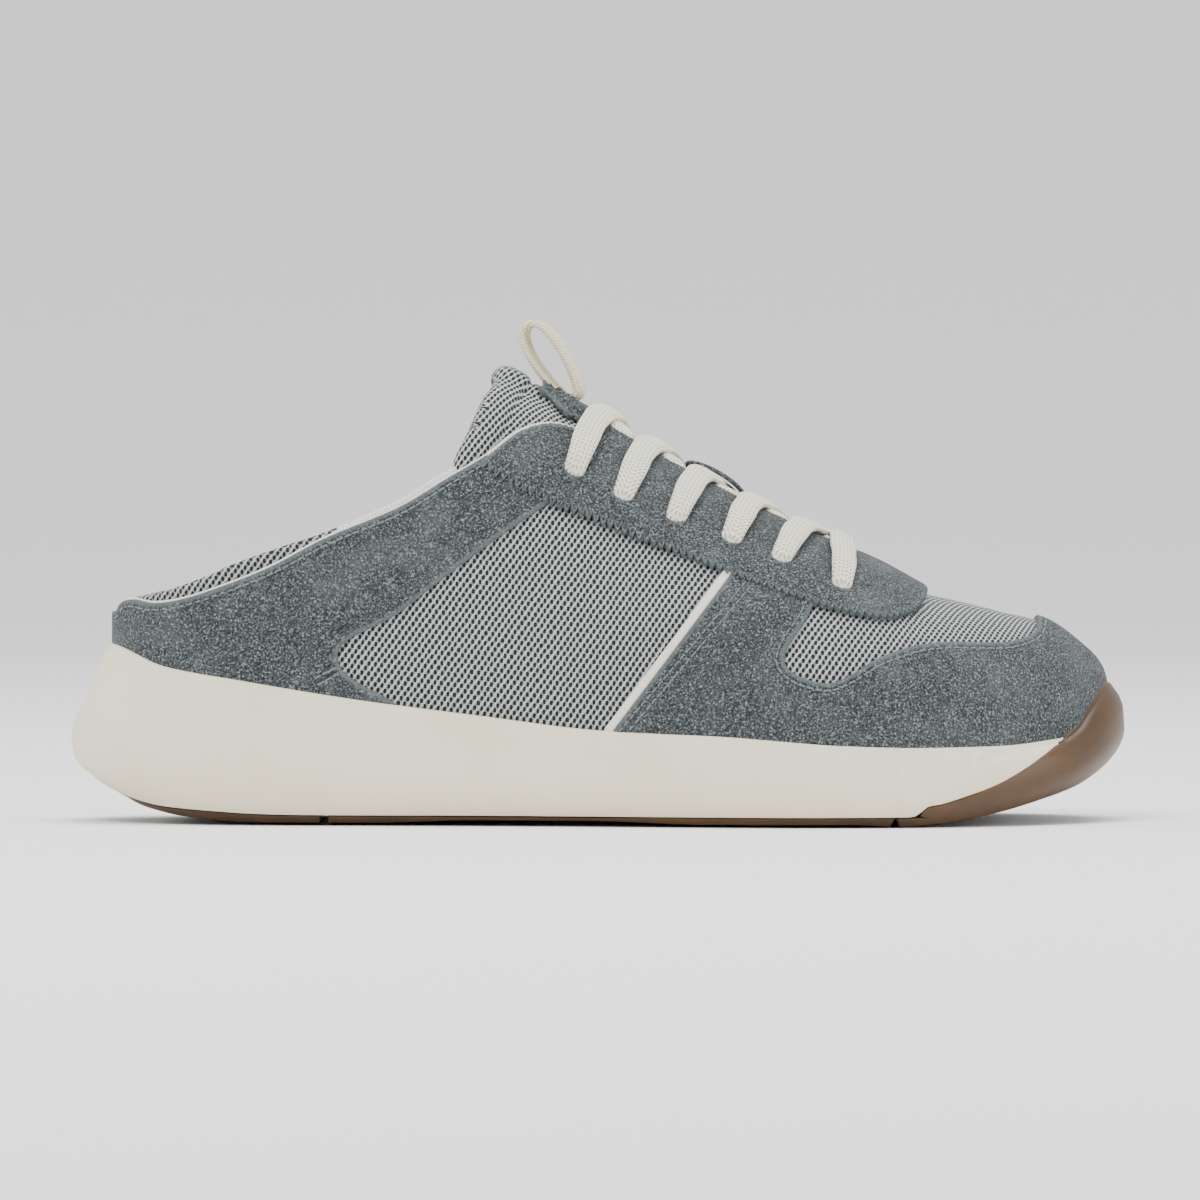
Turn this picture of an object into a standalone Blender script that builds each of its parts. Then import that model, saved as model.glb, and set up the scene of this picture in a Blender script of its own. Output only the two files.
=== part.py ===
"""A low-backed lace-up mule trainer for the right foot, modelled from its last.

Lengths are in metres. The toe points along +X, the lateral side faces -Y and the ground is z = 0.
The textile upper is a wall around the last. The suede overlays, the tongue and the collar lining
are further layers of the same surface, cut to their outlines as they are seen from the side.
"""

import math

import bmesh
import bpy
from mathutils import Matrix, Vector

# Sizes of the last
UPPER_LENGTH = 0.2674
BALL_WIDTH = 0.0960
INSTEP_HEIGHT = 0.0840

# Sizes of the sole
HEEL_STACK = 0.0488
FOREFOOT_STACK = 0.0215
HEEL_FLARE = 0.0102
LEDGE = 0.0023
SEAT_DEPTH = 0.0010
GUM_INSET = 0.0008
BUMPER_RISE = 0.0140
GROOVE_WIDTH = 0.0013
GROOVE_DEPTH = 0.0020
INSOLE_THICKNESS = 0.0040

# Thicknesses of the layers and the clearance between them
WALL = 0.0020
SUEDE = 0.0012
EYESTAY = 0.0019
STRIP = 0.0009
LINING = 0.0030
TONGUE = 0.0050
GAP = 0.0003

# Sizes of the opening and of what is on it
THROAT_TOP_WIDTH = 0.0240
THROAT_TOE_WIDTH = 0.0170
LINING_DEPTH = 0.0160
EYELET_DIAMETER = 0.0044
LACE_WIDTH = 0.0072
LACE_THICKNESS = 0.0022
KEEPER_WIDTH = 0.0090
LOOP_LENGTH = 0.0212
LOOP_GAP = 0.0076
LOOP_WIDTH = 0.0080
LOOP_THICKNESS = 0.0015

# Where the heel seam lies, so that the sole is centred on the origin
TOE_REACH = 0.0055
HEEL_X = -(UPPER_LENGTH + TOE_REACH - LEDGE - HEEL_FLARE) / 2

# Fineness of the surfaces
ROWS = 30
HALF_COLUMNS = 8
LACE_SIDES = 6
REACH = 2 * BALL_WIDTH

# Plan of the last: station along the upper, then shares of the ball width for the lateral edge,
# the medial edge and the ridge, then the fullness of the section (1 is an ellipse, less is boxier)
PLAN = (
    (0.00, 0.000, 0.000, 0.000, 0.74),
    (0.04, 0.212, 0.208, 0.000, 0.74),
    (0.10, 0.292, 0.286, 0.000, 0.74),
    (0.18, 0.330, 0.320, 0.000, 0.76),
    (0.30, 0.350, 0.318, 0.010, 0.84),
    (0.42, 0.385, 0.312, 0.015, 0.94),
    (0.52, 0.432, 0.338, 0.030, 0.96),
    (0.62, 0.484, 0.405, 0.045, 0.92),
    (0.70, 0.505, 0.470, 0.055, 0.90),
    (0.76, 0.496, 0.500, 0.065, 0.88),
    (0.82, 0.460, 0.506, 0.080, 0.86),
    (0.88, 0.388, 0.474, 0.090, 0.84),
    (0.93, 0.290, 0.415, 0.098, 0.82),
    (0.97, 0.155, 0.328, 0.104, 0.82),
    (1.00, -0.104, 0.104, 0.104, 0.82),
)

# Profile of the last: station, then the ridge over the sole's rim as a share of the instep height
PROFILE = (
    (0.00, 1.10),
    (0.18, 1.21),
    (0.30, 1.21),
    (0.37, 1.15),
    (0.45, 1.05),
    (0.49, 0.99),
    (0.55, 0.875),
    (0.63, 0.740),
    (0.71, 0.638),
    (0.77, 0.560),
    (0.82, 0.482),
    (0.89, 0.420),
    (0.935, 0.372),
    (0.975, 0.270),
    (0.995, 0.186),
    (1.00, 0.095),
)

# Rim of the sole: station, then the share of the drop from the heel stack to the forefoot stack
RIM = (
    (-0.05, 1.060),
    (0.00, 0.960),
    (0.05, 0.765),
    (0.12, 0.645),
    (0.25, 0.440),
    (0.37, 0.288),
    (0.49, 0.150),
    (0.61, 0.098),
    (0.73, 0.011),
    (0.81, -0.010),
    (0.89, 0.000),
    (0.95, 0.058),
    (1.00, 0.130),
    (1.05, 0.200),
)

# Underside: station, then the rise off the ground as a share of the forefoot stack. The heel is
# rounded off, the waist is arched a little and the toe springs up.
UNDERSIDE = (
    (-0.02, 0.480),
    (0.00, 0.340),
    (0.02, 0.215),
    (0.04, 0.140),
    (0.07, 0.066),
    (0.11, 0.016),
    (0.15, 0.000),
    (0.26, 0.000),
    (0.36, 0.035),
    (0.48, 0.035),
    (0.59, 0.000),
    (0.77, 0.000),
    (0.83, 0.050),
    (0.89, 0.195),
    (0.93, 0.330),
    (0.97, 0.490),
    (0.99, 0.630),
    (1.01, 0.860),
)

# Side of the sole: share of its height, then shares of the flare near the heel and at the toe
SIDE = (
    (0.00, -0.42, -0.42),
    (0.09, 0.22, 0.20),
    (0.26, 0.91, 0.80),
    (0.40, 1.00, 1.00),
    (0.70, 0.52, 0.90),
    (1.00, 0.00, 0.00),
)

# Flare of the sole along its length: station, then shares of the ledge and of the heel flare
FLARE = (
    (0.00, 1.00, 1.00),
    (0.03, 1.00, 0.80),
    (0.10, 1.00, 0.52),
    (0.25, 1.00, 0.38),
    (0.50, 1.00, 0.30),
    (0.75, 1.00, 0.26),
    (0.93, 1.00, 0.30),
    (1.00, 0.35, 0.46),
)

# Toe bumper: station, then its height over the rim as a share of the bumper's rise
BUMPER = ((0.953, 0.00), (0.968, 0.17), (0.980, 0.46), (0.990, 0.68), (1.00, 0.90), (1.01, 1.00))

# Edge where the gum outsole meets the foam: station, then height as a share of the forefoot stack
GUM_LINE = (
    (-0.060, 0.760),
    (-0.032, 0.640),
    (-0.014, 0.465),
    (0.008, 0.345),
    (0.030, 0.260),
    (0.052, 0.209),
    (0.096, 0.167),
    (0.162, 0.126),
    (0.300, 0.118),
    (0.772, 0.118),
    (0.802, 0.140),
    (0.814, 0.255),
    (0.832, 0.300),
    (0.875, 0.475),
    (0.901, 0.625),
    (0.924, 0.800),
    (0.953, 1.060),
)

# Outlines seen from the side: station, then height over the rim as a share of the instep height
TOPLINE = (
    (-0.060, 0.080),
    (-0.006, 0.101),
    (0.002, 0.136),
    (0.016, 0.166),
    (0.040, 0.190),
    (0.073, 0.232),
    (0.117, 0.301),
    (0.161, 0.382),
    (0.215, 0.500),
    (0.286, 0.627),
    (0.333, 0.736),
    (0.374, 0.830),
    (0.406, 0.922),
    (0.437, 0.964),
    (0.464, 0.958),
    (0.480, 0.935),
)
LINING_TOP = (
    (-0.060, 0.140),
    (0.000, 0.150),
    (0.017, 0.176),
    (0.055, 0.250),
    (0.096, 0.320),
    (0.117, 0.361),
    (0.161, 0.435),
    (0.220, 0.530),
    (0.286, 0.655),
    (0.328, 0.755),
)
EYESTAY_EDGE = (
    (0.363, 0.800),
    (0.395, 0.752),
    (0.435, 0.704),
    (0.483, 0.660),
    (0.532, 0.607),
    (0.579, 0.560),
    (0.625, 0.511),
    (0.681, 0.465),
    (0.730, 0.430),
    (0.779, 0.412),
    (0.808, 0.446),
    (0.819, 0.495),
)
SIDE_WINDOW = (
    (0.440, 0.715),
    (0.387, 0.577),
    (0.326, 0.408),
    (0.284, 0.287),
    (0.240, 0.195),
    (0.226, 0.140),
    (0.231, 0.085),
    (0.250, 0.049),
    (0.284, 0.003),
    (0.296, -0.060),
)
TOE_WINDOW = (
    (0.709, 0.500),
    (0.694, 0.397),
    (0.675, 0.303),
    (0.672, 0.244),
    (0.689, 0.208),
    (0.715, 0.196),
    (0.735, 0.222),
    (0.762, 0.277),
    (0.782, 0.304),
    (0.805, 0.326),
    (0.837, 0.336),
    (0.870, 0.332),
    (0.895, 0.330),
    (0.915, 0.338),
    (0.928, 0.356),
    (0.933, 0.400),
)
STRIP_FOOT = (0.491, 0.501)
STRIP_HEAD = (0.619, 0.629)
STRIP_HEAD_HEIGHT = 0.560
TONGUE_OUTLINE = (
    (0.394, 1.300),
    (0.388, 1.110),
    (0.373, 1.023),
    (0.357, 0.903),
    (0.342, 0.790),
    (0.352, 0.735),
    (0.420, 0.690),
    (0.500, 0.665),
    (0.600, 0.600),
    (0.680, 0.530),
    (0.740, 0.480),
)
TONGUE_TOE = 0.768
PATCH_EDGE = ((0.430, 1.060), (0.469, 0.951), (0.512, 0.870))

# Throat and laces: stations, and the height of each eyelet over the rim
THROAT_TOE = 0.752
THROAT_TOP = 0.440
EYELETS = (
    (0.463, 0.821),
    (0.512, 0.754),
    (0.565, 0.690),
    (0.620, 0.631),
    (0.670, 0.582),
    (0.730, 0.512),
)
KEPT_CROSSING = 2
KEEPER_SPAN = (0.570, 0.632)
LOOP_STATION = 0.456
LOOP_LEAN = math.radians(32)
GROOVES = (0.212, 0.782)

LATERAL = -1
MEDIAL = 1


def along(rows, column, at):
    """Reads a column of a table at a station, by a monotone cubic through its rows."""
    keys = [row[0] for row in rows]
    values = [row[column] for row in rows]
    at = min(max(at, keys[0]), keys[-1])
    steps = [b - a for a, b in zip(keys, keys[1:])]
    rates = [(b - a) / step for a, b, step in zip(values, values[1:], steps)]
    slopes = [rates[0]]
    for before, after in zip(rates, rates[1:]):
        same_way = before * after > 0
        slopes.append(2 * before * after / (before + after) if same_way else 0.0)
    slopes.append(rates[-1])
    i = max(k for k in range(len(steps)) if keys[k] <= at)
    u = (at - keys[i]) / steps[i]
    start = (1 + 2 * u) * (1 - u) ** 2 * values[i] + u * (1 - u) ** 2 * steps[i] * slopes[i]
    end = u * u * (3 - 2 * u) * values[i + 1] - u * u * (1 - u) * steps[i] * slopes[i + 1]
    return start + end


def turn(station):
    """Turns a station into a share of a half circle, so that both ends of the last close round."""
    return math.acos(1 - 2 * min(max(station, 0.0), 1.0)) / math.pi


ROUND_PLAN = tuple((turn(row[0]),) + row[1:] for row in PLAN)
ROUND_PROFILE = tuple((turn(row[0]),) + row[1:] for row in PROFILE)


def station_x(station):
    return HEEL_X + UPPER_LENGTH * station


def station_at(x):
    return (x - HEEL_X) / UPPER_LENGTH


def rim(station):
    """Height of the sole's rim over the ground."""
    return FOREFOOT_STACK + (HEEL_STACK - FOREFOOT_STACK) * along(RIM, 1, station)


def seat(station):
    """Height of the recess in the sole that takes the upper and the insole."""
    return rim(station) - SEAT_DEPTH


def side(station, height):
    """Place in the side view of a point of an outline."""
    return station_x(station), rim(station) + height * INSTEP_HEIGHT


def section(station):
    """Half widths, ridge, foot, height and fullness of the last's section at a station."""
    at = turn(station)
    lateral, medial, ridge = (along(ROUND_PLAN, column, at) * BALL_WIDTH for column in (1, 2, 3))
    foot = seat(station) + GAP
    height = rim(station) + along(ROUND_PROFILE, 1, at) * INSTEP_HEIGHT - foot
    fullness = along(ROUND_PLAN, 4, at)
    return ridge + lateral, medial - ridge, ridge, foot, height, fullness


def ring_point(station, angle):
    """Point of the last at an angle round its section, from the lateral foot over the ridge."""
    to_lateral, to_medial, ridge, foot, height, fullness = section(station)
    out = abs(math.cos(angle)) ** fullness
    across = -to_lateral * out if angle < math.pi / 2 else to_medial * out
    rise = max(math.sin(angle), 0.0) ** fullness
    return Vector((station_x(station), ridge + across, foot + rise * height))


def facing_out(point, one, other, station):
    """Unit normal to two tangents, pointing away from the middle of the section."""
    normal = one.cross(other).normalized()
    ridge, foot, height = section(station)[2:5]
    middle = Vector((station_x(0.5), ridge, foot + 0.3 * height))
    return normal if normal.dot(point - middle) > 0 else -normal


def surface_point(station, across, offset=0.0):
    """Point over the last at a station and a distance across it, raised by an offset."""

    def on_last(at, y):
        to_lateral, to_medial, ridge, foot, height, fullness = section(at)
        reach = to_lateral if y < ridge else to_medial
        angle = math.acos(min(abs(y - ridge) / reach, 1.0) ** (1 / fullness))
        return Vector((station_x(at), y, foot + height * math.sin(angle) ** fullness))

    point = on_last(station, across)
    step = 0.002
    lengthwise = on_last(station + step, across) - on_last(station - step, across)
    crosswise = on_last(station, across + step / 2) - on_last(station, across - step / 2)
    return point + offset * facing_out(point, lengthwise, crosswise, station)


def height_to_across(station, height, hand):
    """Distance across the last at which its side stands at a height over the rim."""
    to_lateral, to_medial, ridge, foot, full_height, fullness = section(station)
    rise = (rim(station) + height * INSTEP_HEIGHT - foot) / full_height
    angle = math.asin(min(rise, 1.0) ** (1 / fullness))
    reach = to_lateral if hand == LATERAL else to_medial
    return ridge + hand * reach * math.cos(angle) ** fullness


def even_angles(station):
    """Angles round a section, gathered towards the ridge, from lateral foot to medial foot."""
    samples = 60
    angles = []
    for start in (0.0, math.pi / 2):
        turns = [start + math.pi / 2 * k / samples for k in range(samples + 1)]
        points = [ring_point(station, turn_angle) for turn_angle in turns]
        lengths = [0.0]
        for a, b in zip(points, points[1:]):
            lengths.append(lengths[-1] + (b - a).length)
        for j in range(HALF_COLUMNS + 1):
            share = math.sin(math.pi / 2 * j / HALF_COLUMNS)
            if start:
                share = 1 - math.sin(math.pi / 2 * (1 - j / HALF_COLUMNS))
            wanted = share * lengths[-1]
            k = max(i for i in range(samples) if lengths[i] <= wanted)
            part = (wanted - lengths[k]) / max(lengths[k + 1] - lengths[k], 1e-9)
            angles.append(turns[k] + (turns[k + 1] - turns[k]) * min(part, 1.0))
    del angles[HALF_COLUMNS + 1]
    return angles


def skin():
    """Rows of points and normals over the whole last, which every layer shares."""
    rows = []
    for i in range(ROWS + 1):
        share = i / ROWS
        station = (1 - math.cos(math.pi * share)) / 2
        row = []
        for angle in even_angles(station):
            point = ring_point(station, angle)
            if i in (0, ROWS):
                row.append((point, Vector((1 if i else -1, 0, 0)), station))
                continue
            ahead = (1 - math.cos(math.pi * (share + 0.004))) / 2
            behind = (1 - math.cos(math.pi * (share - 0.004))) / 2
            low, high = max(angle - 0.02, 0.0), min(angle + 0.02, math.pi)
            lengthwise = ring_point(ahead, angle) - ring_point(behind, angle)
            crosswise = ring_point(station, high) - ring_point(station, low)
            row.append((point, facing_out(point, lengthwise, crosswise, station), station))
        rows.append(row)
    return rows


def clear_scene():
    for item in list(bpy.data.objects):
        bpy.data.objects.remove(item)


def finish_material(name, colour, roughness):
    material = bpy.data.materials.new(name)
    material.use_nodes = True
    shader = material.node_tree.nodes["Principled BSDF"]
    shader.inputs["Base Color"].default_value = (*colour, 1.0)
    shader.inputs["Roughness"].default_value = roughness
    shader.inputs["Metallic"].default_value = 0.0
    return material


def add_object(name, bm, material=None):
    """Turns a bmesh into an object; one without a material is a cutter."""
    bmesh.ops.recalc_face_normals(bm, faces=bm.faces)
    mesh = bpy.data.meshes.new(name)
    bm.to_mesh(mesh)
    bm.free()
    item = bpy.data.objects.new(name, mesh)
    bpy.context.scene.collection.objects.link(item)
    if material:
        mesh.materials.append(material)
        mesh.shade_smooth()
        mesh.set_sharp_from_angle(angle=math.radians(40))
    else:
        item.hide_render = True
        item.display_type = "WIRE"
    return item


def loft(name, rings, material=None, outer_count=None):
    """Closed solid through closed rings of equal count; points that coincide are welded.

    The first outer_count points of a ring lie on its outer face. Its quads are split one way and
    the others the other way, so that the two faces of a wall keep parallel triangles.
    """
    bm = bmesh.new()
    count = len(rings[0])
    last_ring = len(rings) - 1
    bmesh.ops.create_grid(bm, x_segments=last_ring, y_segments=count, size=0.5)
    edge = (outer_count or count // 2) / count - 0.5
    outer = [face for face in bm.faces if face.calc_center_median().y < edge]
    inner = [face for face in bm.faces if face.calc_center_median().y > edge]
    bmesh.ops.triangulate(bm, faces=outer, quad_method="FIXED")
    bmesh.ops.triangulate(bm, faces=inner, quad_method="ALTERNATE")
    for vertex in bm.verts:
        i = round((vertex.co.x + 0.5) * last_ring)
        j = round((vertex.co.y + 0.5) * count) % count
        vertex.co = rings[i][j]
    bmesh.ops.remove_doubles(bm, verts=bm.verts, dist=2e-6)
    bmesh.ops.dissolve_degenerate(bm, edges=bm.edges, dist=1e-7)
    return add_object(name, bm, material)


def layer(name, outer, inner, material):
    """Closed wall over the last between two offsets, each a length or a function of a point."""

    def raised(offset, point, normal, station):
        amount = offset(point, station) if callable(offset) else offset
        return point + amount * normal

    rings = []
    for row in SKIN:
        outside = [raised(outer, *spot) for spot in row]
        inside = [raised(inner, *spot) for spot in row]
        for foot in (outside[0], outside[-1], inside[0], inside[-1]):
            foot.z = seat(station_at(foot.x)) + GAP
        rings.append(outside + inside[::-1])
    return loft(name, rings, material)


def smooth(points, steps):
    """Points of a smooth curve through given points of the side view."""
    if steps == 1:
        return list(points)
    padded = [points[0]] + list(points) + [points[-1]]
    curve = []
    for a, b, c, d in zip(padded, padded[1:], padded[2:], padded[3:]):
        for k in range(steps):
            u = k / steps
            weights = (
                -0.5 * u + u * u - 0.5 * u**3,
                1 - 2.5 * u * u + 1.5 * u**3,
                0.5 * u + 2 * u * u - 1.5 * u**3,
                -0.5 * u * u + 0.5 * u**3,
            )
            spans = zip(weights, (a, b, c, d))
            terms = [(weight * x, weight * z) for weight, (x, z) in spans]
            curve.append(tuple(sum(parts) for parts in zip(*terms)))
    return curve + [points[-1]]


def grown(outline, distance):
    """Closed outline of the side view moved outwards by a distance."""
    area = sum(a[0] * b[1] - b[0] * a[1] for a, b in zip(outline, outline[1:] + outline[:1]))
    turned = distance if area > 0 else -distance
    moved = []
    for a, b, c in zip(outline[-1:] + outline[:-1], outline, outline[1:] + outline[:1]):
        one = Vector((b[1] - a[1], a[0] - b[0])).normalized()
        other = Vector((c[1] - b[1], b[0] - c[0])).normalized()
        middle = (one + other).normalized()
        reach = turned / max(middle.dot(one), 0.5)
        moved.append((b[0] + reach * middle.x, b[1] + reach * middle.y))
    return moved


def prism(name, outline, low=-REACH, high=REACH, axis="Y"):
    """Cutter with an outline of the side view run across, or of the plan run upwards."""
    bm = bmesh.new()
    if axis == "Y":
        verts = [bm.verts.new((x, low, z)) for x, z in outline]
        along_axis = Vector((0, high - low, 0))
    else:
        verts = [bm.verts.new((x, y, low)) for x, y in outline]
        along_axis = Vector((0, 0, high - low))
    face = bm.faces.new(verts)
    moved = bmesh.ops.extrude_face_region(bm, geom=[face])["geom"]
    far_end = [item for item in moved if isinstance(item, bmesh.types.BMVert)]
    bmesh.ops.translate(bm, verts=far_end, vec=along_axis)
    bmesh.ops.triangulate(bm, faces=bm.faces)
    return add_object(name, bm)


def boolean(item, cutter, operation):
    modifier = item.modifiers.new(cutter.name, "BOOLEAN")
    modifier.object = cutter
    modifier.operation = operation
    modifier.solver = "EXACT"


def fade(value, start, end):
    """Goes smoothly from 0 at start to 1 at end."""
    u = min(max((value - start) / (end - start), 0.0), 1.0)
    return u * u * (3 - 2 * u)


def sole_rings(inset):
    """Rings of the whole sole, drawn in by an inset that fades out before the toe."""

    def column(spot, station):
        point, normal, _ = spot
        outward = Vector((normal.x, normal.y, 0)).normalized()
        ledge = LEDGE * along(FLARE, 1, station) - inset * (1 - fade(station, 0.74, 0.80))
        flare = HEEL_FLARE * along(FLARE, 2, station)
        toe_share = fade(station, 0.80, 0.95)
        places = []
        for _, heel_share, toe_offset in SIDE:
            share = heel_share + (toe_offset - heel_share) * toe_share
            places.append(point + outward * (ledge + flare * share))
        bottom = FOREFOOT_STACK * along(UNDERSIDE, 1, station_at(places[0].x))
        top_station = station_at(places[-1].x)
        top = rim(top_station) + BUMPER_RISE * along(BUMPER, 1, top_station)
        for place, (height, _, _) in zip(places, SIDE):
            place.z = bottom + height * (top - bottom)
        return places

    rings = []
    for row in SKIN:
        station = row[0][2]
        rings.append(column(row[0], station) + column(row[-1], station)[::-1])
    return rings


def last_block():
    """The last with the suede on it, down to the seat: what the sole is hollowed by."""
    clearance = GAP + SUEDE + GAP
    rings = []
    for row in SKIN:
        outside = [point + clearance * normal for point, normal, _ in row]
        ends = (outside[-1], outside[0])
        rings.append(outside + [Vector((end.x, end.y, seat(station_at(end.x)))) for end in ends])
    return loft("cut_last", rings, outer_count=2 * HALF_COLUMNS + 1)


def build_sole():
    """Foam midsole and gum outsole, parted along the gum line and hollowed for the upper."""
    line = [(station_x(station), FOREFOOT_STACK * height) for station, height in GUM_LINE]
    line = [(line[0][0] - REACH, line[0][1])] + smooth(line, 2)
    tip_x, tip_z = line[-1]
    above = REACH
    lean = 0.5 * above
    foam_area = line + [(tip_x + lean, tip_z + above), (line[0][0], tip_z + above)]
    gum_area = line + [(tip_x + lean, tip_z + above), (tip_x + REACH, tip_z)]
    gum_area += [(tip_x + REACH, -above), (line[0][0], -above)]
    midsole = loft("midsole", sole_rings(0.0), FOAM)
    boolean(midsole, prism("cut_gum", grown(gum_area, GAP / 2)), "DIFFERENCE")
    boolean(midsole, CUT_LAST, "DIFFERENCE")
    outsole = loft("outsole", sole_rings(GUM_INSET), GUM)
    boolean(outsole, prism("cut_foam", grown(foam_area, GAP / 2)), "DIFFERENCE")
    boolean(outsole, CUT_LAST, "DIFFERENCE")
    for number, station in enumerate(GROOVES, start=1):
        middle = station_x(station)
        near, far = middle - GROOVE_WIDTH / 2, middle + GROOVE_WIDTH / 2
        slot = [(near, -GROOVE_DEPTH), (far, -GROOVE_DEPTH), (far, GROOVE_DEPTH), (near, GROOVE_DEPTH)]
        boolean(outsole, prism(f"cut_groove_{number}", slot), "DIFFERENCE")


def build_insole():
    """Footbed inside the upper, on the seat."""
    clearance = WALL + 2 * GAP
    rings = []
    for row in SKIN:
        station = row[0][2]
        ridge, _, full_height, fullness = section(station)[2:]
        lean = math.asin(min(INSOLE_THICKNESS / full_height, 0.9) ** (1 / fullness))
        sides = []
        for (foot, normal, _), angle in ((row[0], lean), (row[-1], math.pi - lean)):
            low = foot - clearance * normal
            high = ring_point(station, angle) - clearance * normal
            reach = min(abs(low.y - ridge), abs(high.y - ridge))
            y = ridge + math.copysign(reach, low.y - ridge)
            z = seat(station_at(low.x)) + GAP
            sides.append([Vector((low.x, y, z)), Vector((low.x, y, z + INSOLE_THICKNESS))])
        lateral, medial = sides
        rings.append(lateral + medial[::-1])
    loft("insole", rings, INSOLE_CLOTH)


def throat_half(station):
    """Half the width of the throat at a station."""
    share = min(max((station - THROAT_TOP) / (THROAT_TOE - THROAT_TOP), 0.0), 1.0)
    return (THROAT_TOP_WIDTH + (THROAT_TOE_WIDTH - THROAT_TOP_WIDTH) * share) / 2


def throat_outline():
    """The throat in plan, from behind the collar to its round end at the toe."""
    lateral, medial = [], []
    steps = 8
    for k in range(steps + 1):
        station = THROAT_TOP + (THROAT_TOE - THROAT_TOP) * k / steps
        half = throat_half(station)
        ridge = section(station)[2]
        x = station_x(station) - (THROAT_TOE_WIDTH / 2 if k == steps else 0.0)
        lateral.append((x, ridge - half))
        medial.append((x, ridge + half))
    tip_x = station_x(THROAT_TOE) - THROAT_TOE_WIDTH / 2
    ridge = section(THROAT_TOE)[2]
    tip = []
    for k in range(1, 6):
        angle = math.pi * (k / 6 - 0.5)
        half = THROAT_TOE_WIDTH / 2
        tip.append((tip_x + half * math.cos(angle), ridge + half * math.sin(angle)))
    return lateral + tip + medial[::-1]


def eyelet_cutters():
    """Pins through both facings, square to the surface."""
    bm = bmesh.new()
    for station, height in EYELETS:
        for hand in (LATERAL, MEDIAL):
            across = height_to_across(station, height, hand)
            inner = surface_point(station, across, -2 * WALL)
            outer = surface_point(station, across, 2 * WALL)
            pin = (outer - inner).to_track_quat("Z", "Y").to_matrix().to_4x4()
            place = Matrix.Translation((inner + outer) / 2) @ pin
            bmesh.ops.create_cone(
                bm,
                cap_ends=True,
                segments=8,
                radius1=EYELET_DIAMETER / 2,
                radius2=EYELET_DIAMETER / 2,
                depth=4 * WALL,
                matrix=place,
            )
    return add_object("cut_eyelets", bm)


def side_outline(points, steps, closing=()):
    """Smooth edge through points of a table, closed by straight corners."""
    curve = smooth([side(*point) for point in points], steps)
    return curve + [side(*point) for point in closing]


def build_upper():
    """Textile wall with its suede overlays, eyestay, side strips and collar lining."""
    sky = 2.2
    ground = -0.5
    collar_area = side_outline(TOPLINE, 2, ((TOPLINE[-1][0], sky), (TOPLINE[0][0], sky)))
    cut_collar = prism("cut_collar", collar_area)
    cut_throat = prism("cut_throat", throat_outline(), low=rim(0.5), high=REACH, axis="Z")
    cut_eyelets = eyelet_cutters()
    eyestay_top = ((EYESTAY_EDGE[-1][0], sky), (EYESTAY_EDGE[0][0], sky))
    eyestay_area = side_outline(EYESTAY_EDGE, 2, eyestay_top)
    cut_under_eyestay = prism("cut_under_eyestay", grown(eyestay_area, GAP))

    wall = layer("textile_upper", 0.0, -WALL, MESH_CLOTH)
    eyestay = layer("eyestay", GAP + EYESTAY, GAP, SUEDE_SKIN)
    boolean(eyestay, prism("keep_eyestay", eyestay_area), "INTERSECT")
    for item in (wall, eyestay):
        boolean(item, cut_collar, "DIFFERENCE")
        boolean(item, cut_throat, "DIFFERENCE")
        boolean(item, cut_eyelets, "DIFFERENCE")

    quarter = layer("quarter_overlay", GAP + SUEDE, GAP, SUEDE_SKIN)
    heel_corners = ((SIDE_WINDOW[-1][0], ground), (-0.1, ground), (-0.1, sky), (EYESTAY_EDGE[1][0], sky))
    quarter_area = side_outline(SIDE_WINDOW, 2, heel_corners)
    boolean(quarter, prism("keep_quarter", quarter_area), "INTERSECT")
    boolean(quarter, cut_under_eyestay, "DIFFERENCE")
    boolean(quarter, cut_collar, "DIFFERENCE")

    toe = layer("toe_overlay", GAP + SUEDE, GAP, SUEDE_SKIN)
    toe_corners = ((STRIP_FOOT[1], 0.0), (STRIP_HEAD[1], STRIP_HEAD_HEIGHT), (0.66, 1.0), (1.1, 1.0))
    toe_area = [side(*corner) for corner in ((STRIP_FOOT[1], ground),) + toe_corners + ((1.1, ground),)]
    boolean(toe, prism("keep_toe", toe_area), "INTERSECT")
    boolean(toe, cut_under_eyestay, "DIFFERENCE")
    window = side_outline(TOE_WINDOW, 2, ((TOE_WINDOW[-1][0], 1.0), (TOE_WINDOW[0][0], 1.0)))
    boolean(toe, prism("cut_toe_window", window), "DIFFERENCE")

    gap_share = GAP / UPPER_LENGTH
    strip_area = [
        side(STRIP_FOOT[0], ground),
        side(STRIP_FOOT[0], 0.0),
        side(STRIP_HEAD[0], STRIP_HEAD_HEIGHT),
        side(STRIP_HEAD[1] - gap_share, STRIP_HEAD_HEIGHT),
        side(STRIP_FOOT[1] - gap_share, 0.0),
        side(STRIP_FOOT[1] - gap_share, ground),
    ]
    for name, low, high in (("lateral", -REACH, 0.0), ("medial", 0.0, REACH)):
        strip = layer(f"side_strip_{name}", GAP + STRIP, GAP, STRIP_TAPE)
        boolean(strip, prism(f"keep_strip_{name}", strip_area, low, high), "INTERSECT")
        boolean(strip, cut_under_eyestay, "DIFFERENCE")

    lining = layer("collar_lining", -WALL - GAP, -WALL - GAP - LINING, LINING_CLOTH)
    top_edge = smooth([side(*point) for point in LINING_TOP], 2)
    over_insole = -SEAT_DEPTH + GAP + INSOLE_THICKNESS + GAP
    bottom_edge = [(x, max(z - LINING_DEPTH, rim(station_at(x)) + over_insole)) for x, z in top_edge]
    boolean(lining, prism("keep_lining", top_edge + bottom_edge[::-1]), "INTERSECT")


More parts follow.
